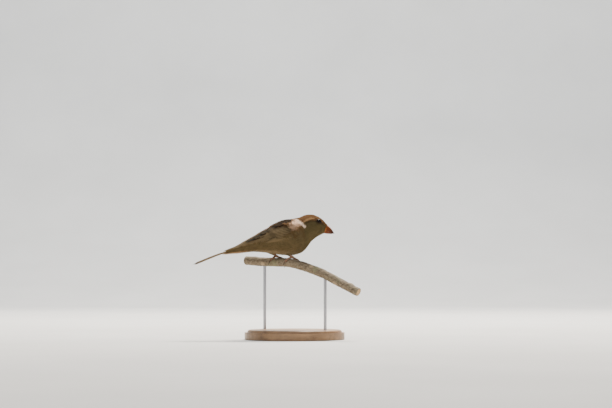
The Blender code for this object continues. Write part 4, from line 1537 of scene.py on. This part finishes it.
# the bill's lines seen from its side, and its half width at their points, in millimetres
RIDGE = np.array([(37.7, 31.4), (40.4, 29.3), (42.7, 26.5), (44.2, 24.1), (44.9, 22.5)])
BITE = np.array([(35.7, 26.0), (37.8, 25.1), (40.4, 24.2), (43.2, 23.2), (44.75, 22.35)])
LOWER_BITE = np.array([(35.7, 26.0), (37.8, 25.1), (40.4, 24.2), (43.0, 23.3), (44.25, 22.85)])
UNDERSIDE = np.array([(34.8, 22.9), (36.9, 22.4), (39.3, 22.2), (41.9, 22.2), (44.1, 22.7)])
BILL_HALF_WIDTHS = np.array([3.9, 3.2, 2.3, 1.25, 0.22])
BILL_REACH = (-0.45, 4.0)  # rows of those lines that the horn covers, its root hidden in the face
BILL_HALVES = {  # outer line, bite line, which way round, keel, hollow inside, darkness of the tip
    "bill_upper": (RIDGE, BITE, 1, 1.0, 0.20, 1.0),
    "bill_lower": (UNDERSIDE, LOWER_BITE, -1, 0.2, -0.10, 0.7),
}
GAPE_TONE = (0.66, 0.40, 0.14)
# painted highlight: the pale pink gloss on the root of the upper ridge
CULMEN_HIGHLIGHT_TONE = (0.90, 0.71, 0.61)


def bill_line(table, rows):
    """A table of the bill read at rows, going on straight before its first."""
    slope = (through(table, 0.05) - through(table, 0.0)) / 0.05
    return through(table, np.maximum(rows, 0)) + slope * np.minimum(rows, 0)[..., None]


def bill_point(half, rows, arc):
    """The outer face of half a bill: an arch from the bite line's one side over the ridge to its other side.

    At each row its height is (ridge - bite) times sin(arc)^0.8, with a keel along its middle, and its width
    is the half width times cos(arc), with a swollen edge at the bite and at the gape.
    """
    edge, bite, across, keel = BILL_HALVES[half][:4]
    rows, arc = np.broadcast_arrays(rows, arc)
    bite, edge = bill_line(bite, rows) * MM, bill_line(edge, rows) * MM
    width = through(BILL_HALF_WIDTHS[:, None], np.maximum(rows, 0))[..., 0] * MM
    tall = np.linalg.norm(edge - bite, axis=-1)
    up = (edge - bite) / tall[..., None]
    over = np.maximum(np.sin(arc), 0)
    rise = np.maximum(tall - GAP / 2, 0.12 * MM) * over**0.8
    rise = rise * (1 - keel * 0.05 * (1 - bell(np.cos(arc), 0.20)))
    lip = 0.05 * MM * bell(over - 0.10, 0.08) * gate(4 - rows, 0, 1)
    gape = 0.20 * MM * bell(rows, 0.25) * bell(over, 0.25)
    side = across * (width * np.cos(arc) + (lip + gape) * np.sign(np.cos(arc)))
    place = bite + up * (GAP * 0.12) + [GAP, 0] + up * rise[..., None]
    return settle(stacked(place[..., 0], side, place[..., 1]), 0.0)


def bill_tones(half, rows, high, pit):
    """Horn: dark tip, yellow gape, nostril pits darkened as painted shade, a painted highlight at the root
    of the upper ridge, and painted shade on the root hidden in the face.
    """
    upper, darkness = half == "bill_upper", BILL_HALVES[half][5]
    dark = darkness * gate(rows, 0.9, 3.4) + upper * 0.6 * gate(high, 0.88, 1.0) * gate(rows, 1.0, 2.0)
    tones = mix(colour("bill"), colour("bill_tip"), np.clip(dark, 0, 1)[..., None])
    gape = (1 - gate(rows, 0.3, 0.8)) * (1 - gate(high, 0.25, 0.6))
    tones = mix(tones, linear(GAPE_TONE), (0.6 * gape)[..., None])
    # painted highlight: a pale pink gloss on the root of the upper ridge
    culmen_highlight = upper * bell(rows - 0.85, 0.70) * gate(high, 0.84, 0.98)
    tones = mix(tones, linear(CULMEN_HIGHLIGHT_TONE), (0.80 * culmen_highlight)[..., None])
    # the root hidden in the face, in the cheek's colour darkened as painted shade under the feathers
    tones = mix(tones, colour("cheek") * 0.6, (1 - gate(rows, -0.05, 0.12))[..., None])
    # the nostril pits darkened almost to black, as painted shade
    return tones * (1 - 0.8 * pit)[..., None]


def make_bill():
    """Two horny halves with a keeled ridge, a nostril on each side, and swollen edges at the gape."""
    start, end = BILL_REACH
    rows = np.concatenate([np.linspace(start, 0, 12)[:-1], np.linspace(0, end, 100)])[:, None]
    arc = np.linspace(0, math.pi, 65)[None, :]
    inside = np.linspace(0, 1, 19)[1:-1][None, :]
    for half, (_, _, _, _, hollow, _) in BILL_HALVES.items():
        outer = bill_point(half, rows, arc)
        ridge = outer[:, 32:33]
        inner = mix(outer[:, -1:], outer[:, :1], inside[..., None])
        inner = inner + (ridge - inner) * hollow * np.sin(inside * math.pi)[..., None]
        pit = np.zeros(outer.shape[:2])
        if half == "bill_upper":
            pit = bell(((rows - 0.36) / 0.17) ** 2 + ((np.sin(arc) - 0.82) / 0.055) ** 2, 1)
            middle = ridge * 0.5 + inner.mean(axis=1, keepdims=True) * 0.5
            outer = outer - unit(outer - middle) * 0.4 * MM * pit[..., None]
        piece = tube_piece(f"{half}_half", np.concatenate([outer, inner], axis=1), 40)
        within = np.zeros(inner.shape[:2])
        high = np.concatenate([np.sin(arc) + 0 * pit, within], axis=1)
        paint(piece, bill_tones(half, rows + 0 * high, high, np.concatenate([pit, within], axis=1)))
        fit_out(piece, horn_material("bill_horn", 0.36), "bill", half)


def make_bristles():
    """Narrow tufts round the base of the bill, which lie forward over it and half hide the nostrils.

    Two pieces root on the bill's own rear edge. A third roots on the face just behind, and parts from the
    head's feathers there: it lies forward, and dips on to the bill.
    """
    rng = np.random.default_rng(SEEDS["bristles"])
    for half, count in (("bill_upper", 760), ("bill_lower", 520)):
        upper = half == "bill_upper"
        chart = Chart(
            lambda rows, arc, half=half: bill_point(half, rows, arc),
            np.linspace(BILL_REACH[0], 3, 140), np.linspace(0.02, 3.12, 120)
        )
        root = rng.uniform(-0.60, -0.12, count)
        arc = np.clip(math.pi / 2 * (1 - np.cos(math.pi * rng.random(count))), 0.05, math.pi - 0.05)
        length = rng.uniform(0.55, 1.25, count) * mix(0.95, 1.45, np.sin(arc) ** 3 * upper) * MM
        width = np.tile(rng.uniform(0.11, 0.19, (count, 1)) * MM, 2)
        tip = each(rng.uniform(0.02, 0.22, count)) * MM
        tuft = tuft_shape(count, 2, 0.50, rng)

        def height(t, across, u, v):
            return (0.02 + 0.16 * np.sin(math.pi * np.clip(t, 0, 1))) * MM + tip * smooth_step(t)

        spine = straight_spine(root, arc, length, rng.normal(0, 0.25, count), chart)
        away = np.abs(arc - math.pi / 2) / (math.pi / 2)
        angle = away * 90 if upper else 180 - away * 90
        bristle_piece(f"{half}_bristles", chart, spine, tuft, height, length, width, (root, arc), angle, rng)

    count, reach = 1500, 0.42
    v = rng.uniform(-math.pi, math.pi, count)
    u = rng.uniform(0.0, reach, count)
    length = rng.uniform(0.85, 1.40, count) * mix(1.0, 0.8, u / reach) * MM
    width = np.tile(rng.uniform(0.17, 0.26, (count, 1)) * MM, 2)
    turn = math.pi - np.sign(v) * rng.normal(0.15, 0.25, count)
    tuft = tuft_shape(count, 2, 0.52, rng)
    lift = each(rng.uniform(0.03, 0.12, count)) * MM

    def face_height(t, across, uu, vv):
        rise = mix(-0.22 * MM, lift, smooth_step(t / 0.75))
        return rise + 0.05 * MM * (1 - across**2) + 0.55 * MM * gate(-uu, 0, 0.5)

    spine = straight_spine(u, v, length, turn, BODY)
    angle = np.degrees(np.abs(v))
    bristle_piece("coat_face", BODY, spine, tuft, face_height, length, width, (u, v), angle, rng)


def bristle_piece(name, chart, spine, tuft, height, length, width, roots, angle, rng):
    """A piece of bristles in the face's colours at each one's angle from the ridge, in degrees."""
    tones = markings(np.full(len(angle), 0.35), np.radians(angle))[:, None, None, :]
    tones = tones * uneven(len(angle), 0.10, rng) * mix(0.75, 1.1, tuft[0])[..., None]
    soft_piece(name, chart, spine, tuft, height, length, width, tones, roots, "plumage_head", rng)


def horn_material(name, rough):
    """Smooth horn: the painted tones, with faint growth lines and scratches that run along it."""
    if name in bpy.data.materials:
        return bpy.data.materials[name]
    n = Nodes(name)
    streak = n.noise(1, 5, 0.6, n.place((500, 2600, 2600)))
    cloud = n.noise(700, 3)
    half_cloud = n.math("MULTIPLY", cloud, 0.5)
    tone = n.ramp(n.math("MULTIPLY_ADD", streak, 0.5, half_cloud), (0.3, 0.78), (0.7, 1.12))
    return n.finish(
        Base_Color=n.times(n.attribute("markings"), tone),
        Roughness=n.math("MULTIPLY_ADD", cloud, 0.2, rough - 0.1), Specular_IOR_Level=0.22,
        Subsurface_Weight=0.04, Subsurface_Scale=0.6 * MM, Normal=n.bump(streak, 0.03 * MM, 0.5)
    )


def claw_relief(distance, angle):
    """A claw's section: deeper than wide, with a groove beneath."""
    return 0.08 * np.cos(2 * angle) - 0.16 * bell(angle - math.pi, 0.35)


def make_claws():
    """Curved horn claws that taper to a point, one piece for each foot."""
    share = np.linspace(0, 1, 34)
    radius = mix(0.54, 0.13, share**1.15) * MM
    for side in SIDES:
        grids = []
        for kind, toe in TOES.items():
            root, tip = (toe[0] - 0.7) * MM, (toe[0] + CLAW_LENGTH[kind]) * MM
            points, _, away = toe_line(side, kind, root, tip, len(share), CLAW_ARCH)
            grids.append(tube(points, away, radius, 20, claw_relief)[0])
        grid = np.stack(grids)
        piece = tube_piece(f"claws_{side}", grid, copies=len(grids))
        along = np.linspace(0, 1, grid.shape[1])[None, :, None, None]
        tones = mix(colour("leg") * 0.8, colour("claw"), gate(along, 0.05, 0.5)) * mix(1.0, 0.8, along)
        paint(piece, np.broadcast_to(tones, grid.shape))
        fit_out(piece, horn_material("claw_horn", 0.34), "claw", *(f"claw_{side}_{kind}" for kind in TOES))


# ---------------- branch and stand

# each knot's place along the branch, its angle round from the top, its size and its height, in millimetres
BRANCH_KNOTS = (
    (-30, 0.6, 2.2, 0.7), (24, -0.7, 1.8, 0.8), (31, 2.4, 2.4, 0.7), (47, -2.2, 2.0, 0.6),
    (58, 0.5, 1.8, 0.95), (-20, -2.0, 1.6, 0.5), (41, 0.9, 1.3, 0.45),
)
BARK_RADIUS = 4.1  # millimetres
BRANCH_WRINKLES = (-27.5, 14.5, 38.0, 53.0)  # places of rings of wrinkled bark, in millimetres
CUT_RINGS = np.array([0.97, 0.9, 0.78, 0.6, 0.4, 0.2, 0.03])  # radii of a sawn end's rings, from its rim


def ripple(points, scale, seed, waves=28):
    """Smooth noise of about -1 to 1: a sum of sine waves in random directions, about one wave per scale."""
    rng = np.random.default_rng(seed)
    ways = unit(rng.normal(size=(waves, 3))) * TURN / scale * rng.uniform(0.6, 1.6, (waves, 1))
    phase = rng.uniform(0, TURN, waves)
    return np.sin(points @ ways.T + phase).sum(axis=-1) * math.sqrt(2 / waves) * 0.5


def bark_relief(x, angle):
    """Height of the bark in millimetres at (x, angle), and how far each spot lies on a knot.

    Fine ridges that run along the branch and slow swellings come from ripples, calmer where the feet grip. A
    knot is a bell with a small pit in its middle, and a wrinkle a thin ring.
    """
    over = stacked(np.cos(angle), np.sin(angle)) * PERCH_RADIUS
    stretched = np.concatenate([x[..., None] * 0.28, over], axis=-1)
    even = np.concatenate([x[..., None], over], axis=-1)
    ridges = 0.13 * ripple(stretched, 1.3 * MM, 1) + 0.07 * ripple(stretched, 0.55 * MM, 2)
    swell = 0.22 * ripple(even, 15 * MM, 3) + 0.07 * ripple(even, 4 * MM, 4)
    calm = 1 - 0.75 * gate(18 * MM - np.abs(x + 2 * MM), 0, 6 * MM)
    relief = ridges * mix(0.6, 1.0, calm) + swell * calm
    knotted = np.zeros_like(x)
    for place, turn, size, tall in BRANCH_KNOTS:
        off = np.hypot(x / MM - place, np.angle(np.exp(1j * (angle - turn))) * BARK_RADIUS) / size
        relief = relief + tall * bell(off, 1) - 0.28 * tall * bell(off, 0.32)
        knotted = np.maximum(knotted, np.exp(-(off**4)))
    for place in BRANCH_WRINKLES:
        relief = relief + 0.16 * bell(x / MM - place + 0.5 * np.sin(angle * 2 + place), 0.35)
    return relief, knotted


def make_perch():
    """A cut length of branch: a tapered tube along its line, with ridged bark, knots and flat sawn ends."""
    start, end = PERCH_LINE[[0, -1], 0]
    along = np.linspace(start, end, 380)
    line = perch_point(along)
    _, _, up, far = perch_axes(along)
    x, angle = crossed(along, np.arange(120) * TURN / 120)
    relief, knotted = bark_relief(x, angle)
    taper = 1 - PERCH_TAPER * gate(along, FOOT_STEP["right"], end)
    radius = PERCH_RADIUS * taper[:, None] + (relief - 0.12) * MM
    from_cut = np.minimum(x - start, end - x)
    radius = radius - 0.35 * MM * np.sqrt(np.clip(1 - from_cut / (0.4 * MM), 0, 1))
    ring = np.cos(angle)[..., None] * up[:, None, :] + np.sin(angle)[..., None] * far[:, None, :]
    bark = line[:, None, :] + ring * radius[..., None]
    cuts = [line[k] + (bark[k] - line[k]) * CUT_RINGS[:, None, None] for k in (0, -1)]
    piece = tube_piece("branch", np.concatenate([cuts[0][::-1], bark, cuts[1]]) + FEET, 45)
    share = np.concatenate([CUT_RINGS[::-1], np.ones(len(along)), CUT_RINGS])[:, None]
    around = ((len(CUT_RINGS),) * 2, (0, 0))
    knotted = np.pad(knotted, around)
    on_cut = np.pad(0 * x, around, constant_values=1)
    mark(piece, "wood", stacked(share, on_cut, knotted))
    fit_out(piece, bark_material(), "bark", "perch_branch")


def bark_material():
    """Grey-brown bark with corky ridges, dark cracks, lichen flecks and pale knots, and ringed sawn wood."""
    n = Nodes("bark")
    share, cut, knot = n.parts("wood")
    ridges = n.noise(1, 6, 0.62, n.place((260, 900, 900)))
    fine = n.noise(1900, 5, 0.6)
    lichen, cork, knot_wood = linear([(0.50, 0.50, 0.36), (0.66, 0.62, 0.52), (0.70, 0.61, 0.47)])
    base = colour("bark")
    tone = n.ramp(ridges, (0.30, base * 0.32), (0.50, base), (0.72, base * 1.75))
    tone = n.blend(n.ramp(n.noise(95, 4), (0.52, 0.0), (0.68, 0.55)), tone, lichen)
    tone = n.blend(n.ramp(fine, (0.60, 0.0), (0.72, 0.6)), tone, cork)
    tone = n.blend(n.math("MULTIPLY", knot, 0.75), tone, knot_wood)
    rings = n.math("MULTIPLY", n.math("SINE", n.math("MULTIPLY", share, 58.0)), 0.35)
    sawn = n.ramp(
        n.math("MULTIPLY_ADD", fine, 0.6, rings),
        (0.0, linear((0.62, 0.46, 0.29))), (0.8, linear((0.86, 0.74, 0.55)))
    )
    sawn = n.blend(n.ramp(share, (0.90, 0.0), (0.93, 1.0)), sawn, linear((0.33, 0.23, 0.15)))
    return n.finish(
        Base_Color=n.blend(cut, tone, sawn), Roughness=0.82, Specular_IOR_Level=0.3,
        Normal=n.bump(n.math("MULTIPLY_ADD", fine, 0.5, ridges), 0.22 * MM, 0.8)
    )


def stand_wood():
    """Oiled wood with a straight grain that wavers a little, and fine dark pores."""
    n = Nodes("stand_wood")
    spot = n.blend(0.012, n.place(), n.noise(14, 3, 0.5, n.place(), "Color"), "ADD")
    streak = n.noise(1, 7, 0.62, n.place((14, 190, 190), spot))
    pores = n.noise(1, 2, 0.5, n.place((130, 2600, 2600), spot))
    base = colour("wood")
    tone = n.ramp(streak, (0.30, base * 0.55), (0.52, base), (0.75, base * 1.35))
    return n.finish(
        Base_Color=n.blend(n.ramp(pores, (0.30, 0.55), (0.40, 0.0)), tone, base * 0.35), Roughness=0.42,
        Specular_IOR_Level=0.4, Coat_Weight=0.15, Coat_Roughness=0.3, Normal=n.bump(pores, 0.03 * MM, 0.35)
    )


def stand_steel():
    """Satin steel, brushed along the rods."""
    n = Nodes("stand_steel")
    brushed = n.noise(1, 3, 0.5, n.place((2500, 2500, 60)))
    return n.finish(
        Base_Color=linear((0.70, 0.70, 0.71)), Metallic=1.0,
        Roughness=n.math("MULTIPLY_ADD", brushed, 0.16, 0.22)
    )


def make_stand():
    """Gives the stand's own solids their materials."""
    steel = stand_steel()
    for node, material in (("stand_base", stand_wood()), ("stand_rod_1", steel), ("stand_rod_2", steel)):
        solid = bpy.data.objects[node]
        solid.data.materials.clear()
        solid.data.materials.append(material)


# ---------------- studio

AIM = np.array([10.5, 5, 125]) * MM
CAMERA_AWAY = 1.6
CAMERA_RISE = math.radians(2.5)  # how far the camera looks up
LENS, SENSOR = 101.6, 36  # millimetres
BACKDROP = (0, 3.0, 0.7)
LIGHTS = {  # place, what it lights, width, watts and colour
    "key": ((0.25, 0.80, 1.55), AIM, 0.6, 92, (1.0, 0.91, 0.80)),
    "fill": ((-0.9, -1.5, 0.75), AIM, 1.3, 5.6, (0.97, 0.98, 1.0)),
    "catch": ((0.55, -1.15, 1.05), AIM, 0.22, 3.5, (1.0, 0.98, 0.95)),
    "wall": ((0.0, 1.0, 2.4), BACKDROP, 1.6, 105, (1.0, 1.0, 1.0)),
}


def stage_object(name, data, place=(0, 0, 0), target=None):
    """An object of the studio, turned to look at a target where it has one."""
    obj = bpy.data.objects.new(name, data)
    obj.location = place
    if target is not None:
        obj.rotation_euler = (Vector(target) - obj.location).to_track_quat("-Z", "Y").to_euler()
    bpy.context.scene.collection.objects.link(obj)
    return obj


def make_sweep():
    """Floor and backdrop in one sheet, joined by a quarter circle."""
    bend = np.linspace(0, math.pi / 2, 24)[1:]
    floor = [-4.0, -2.0, -1.0, 0, 1.0, 1.8]
    y = np.concatenate([floor, 1.8 + 1.2 * np.sin(bend), [3.0]])
    z = np.concatenate([np.zeros(len(floor)), 1.2 * (1 - np.cos(bend)), [4.5]])
    points = np.stack([np.broadcast_arrays(x, y, z) for x in (-4.0, 4.0)]).transpose(2, 0, 1)
    mesh = bpy.data.meshes.new("sweep")
    mesh.from_pydata(points.reshape(-1, 3).tolist(), [], grid_faces(len(y), 2)[:, ::-1].tolist())
    mesh.shade_smooth()
    n = Nodes("sweep")
    tone = n.ramp(n.noise(5, 4), (0.3, linear((0.80, 0.80, 0.79))), (0.7, linear((0.83, 0.83, 0.82))))
    mesh.materials.append(n.finish(Base_Color=tone, Roughness=0.9, Specular_IOR_Level=0.2))
    sweep = stage_object("sweep", mesh)


def make_stage():
    """The pale sweep, soft lights from above, behind and in front, the world and the camera."""
    make_sweep()
    for name, (place, target, width, watts, tone) in LIGHTS.items():
        lamp = bpy.data.lights.new(name, "AREA")
        lamp.shape, lamp.size, lamp.size_y, lamp.energy, lamp.color = "RECTANGLE", width, width, watts, tone
        stage_object(name, lamp, place, target)
    world = bpy.data.worlds.new("studio")
    world.use_nodes = True
    sky = world.node_tree.nodes["Background"]
    sky.inputs["Color"].default_value = (0.88, 0.92, 1.0, 1)
    sky.inputs["Strength"].default_value = 0.5
    bpy.context.scene.world = world
    lens = bpy.data.cameras.new("camera")
    lens.lens, lens.sensor_width, lens.clip_start = LENS, SENSOR, 0.02
    lens.dof.use_dof = False
    away = CAMERA_AWAY * np.array([0, math.cos(CAMERA_RISE), math.sin(CAMERA_RISE)])
    bpy.context.scene.camera = stage_object("camera", lens, AIM - away, AIM)


# ---------------- operators and panel


class SPARROW_OT_skin(bpy.types.Operator):
    """Skin of the head, neck, trunk and legs, with eyelids, scutes and toe pads"""

    bl_idname = "sparrow.skin"
    bl_label = "Skin"

    def execute(self, context):
        make_skin()
        return {"FINISHED"}


class SPARROW_OT_eyes(bpy.types.Operator):
    """Both eyeballs, with pupil and iris"""

    bl_idname = "sparrow.eyes"
    bl_label = "Eyes"

    def execute(self, context):
        make_eyes()
        return {"FINISHED"}


class SPARROW_OT_bill(bpy.types.Operator):
    """Upper and lower half of the bill"""

    bl_idname = "sparrow.bill"
    bl_label = "Bill"

    def execute(self, context):
        make_bill()
        return {"FINISHED"}


class SPARROW_OT_bristles(bpy.types.Operator):
    """Tufts that lie forward over the base of the bill"""

    bl_idname = "sparrow.bristles"
    bl_label = "Bristles"

    def execute(self, context):
        make_bristles()
        return {"FINISHED"}


class SPARROW_OT_claws(bpy.types.Operator):
    """Four claws on each foot"""

    bl_idname = "sparrow.claws"
    bl_label = "Claws"

    def execute(self, context):
        make_claws()
        return {"FINISHED"}


class SPARROW_OT_head_coat(bpy.types.Operator):
    """Small feathers of crown, cheeks and throat"""

    bl_idname = "sparrow.head_coat"
    bl_label = "Head Feathers"

    def execute(self, context):
        make_head_coat()
        return {"FINISHED"}


class SPARROW_OT_body_coat(bpy.types.Operator):
    """Contour feathers of nape, breast, back, belly and tail coverts"""

    bl_idname = "sparrow.body_coat"
    bl_label = "Body Feathers"

    def execute(self, context):
        make_body_coat()
        make_thighs()
        return {"FINISHED"}


class SPARROW_OT_wings(bpy.types.Operator):
    """Flight feathers and coverts of both folded wings"""

    bl_idname = "sparrow.wings"
    bl_label = "Wings"

    def execute(self, context):
        make_wings()
        return {"FINISHED"}


class SPARROW_OT_tail(bpy.types.Operator):
    """Twelve tail feathers"""

    bl_idname = "sparrow.tail"
    bl_label = "Tail"

    def execute(self, context):
        make_tail()
        return {"FINISHED"}


class SPARROW_OT_perch(bpy.types.Operator):
    """Cut length of branch with bark, knots and sawn ends"""

    bl_idname = "sparrow.perch"
    bl_label = "Branch"

    def execute(self, context):
        make_perch()
        return {"FINISHED"}


class SPARROW_OT_stand(bpy.types.Operator):
    """Wood and steel materials of the stand's solids"""

    bl_idname = "sparrow.stand"
    bl_label = "Stand Materials"

    def execute(self, context):
        make_stand()
        return {"FINISHED"}


class SPARROW_OT_stage(bpy.types.Operator):
    """Floor, backdrop, lights, world and camera"""

    bl_idname = "sparrow.stage"
    bl_label = "Studio"

    def execute(self, context):
        make_stage()
        return {"FINISHED"}


OPERATORS = (
    SPARROW_OT_stage, SPARROW_OT_skin, SPARROW_OT_eyes, SPARROW_OT_bill, SPARROW_OT_bristles,
    SPARROW_OT_claws, SPARROW_OT_head_coat, SPARROW_OT_body_coat, SPARROW_OT_wings, SPARROW_OT_tail,
    SPARROW_OT_perch, SPARROW_OT_stand,
)


class SPARROW_PT_panel(bpy.types.Panel):
    """Sizes, colours and a button for each group of pieces"""

    bl_idname = "SPARROW_PT_panel"
    bl_label = "House Sparrow"
    bl_space_type = "VIEW_3D"
    bl_region_type = "UI"
    bl_category = "Sparrow"

    def draw(self, context):
        column = self.layout.column(align=True)
        for group in (context.scene.sparrow_sizes, context.scene.sparrow_colours):
            for name in group.bl_rna.properties.keys():
                if name not in {"rna_type", "name"}:
                    column.prop(group, name)
        for operator in OPERATORS:
            self.layout.operator(operator.bl_idname)


CLASSES = (SparrowColours, SparrowSizes, *OPERATORS, SPARROW_PT_panel)


def register():
    for cls in CLASSES:
        bpy.utils.register_class(cls)
    bpy.types.Scene.sparrow_colours = PointerProperty(type=SparrowColours)
    bpy.types.Scene.sparrow_sizes = PointerProperty(type=SparrowSizes)


def unregister():
    del bpy.types.Scene.sparrow_sizes
    del bpy.types.Scene.sparrow_colours
    for cls in reversed(CLASSES):
        bpy.utils.unregister_class(cls)


def main():
    register()
    for operator in OPERATORS:
        group, name = operator.bl_idname.split(".")
        getattr(getattr(bpy.ops, group), name)()


if __name__ == "__main__":
    main()
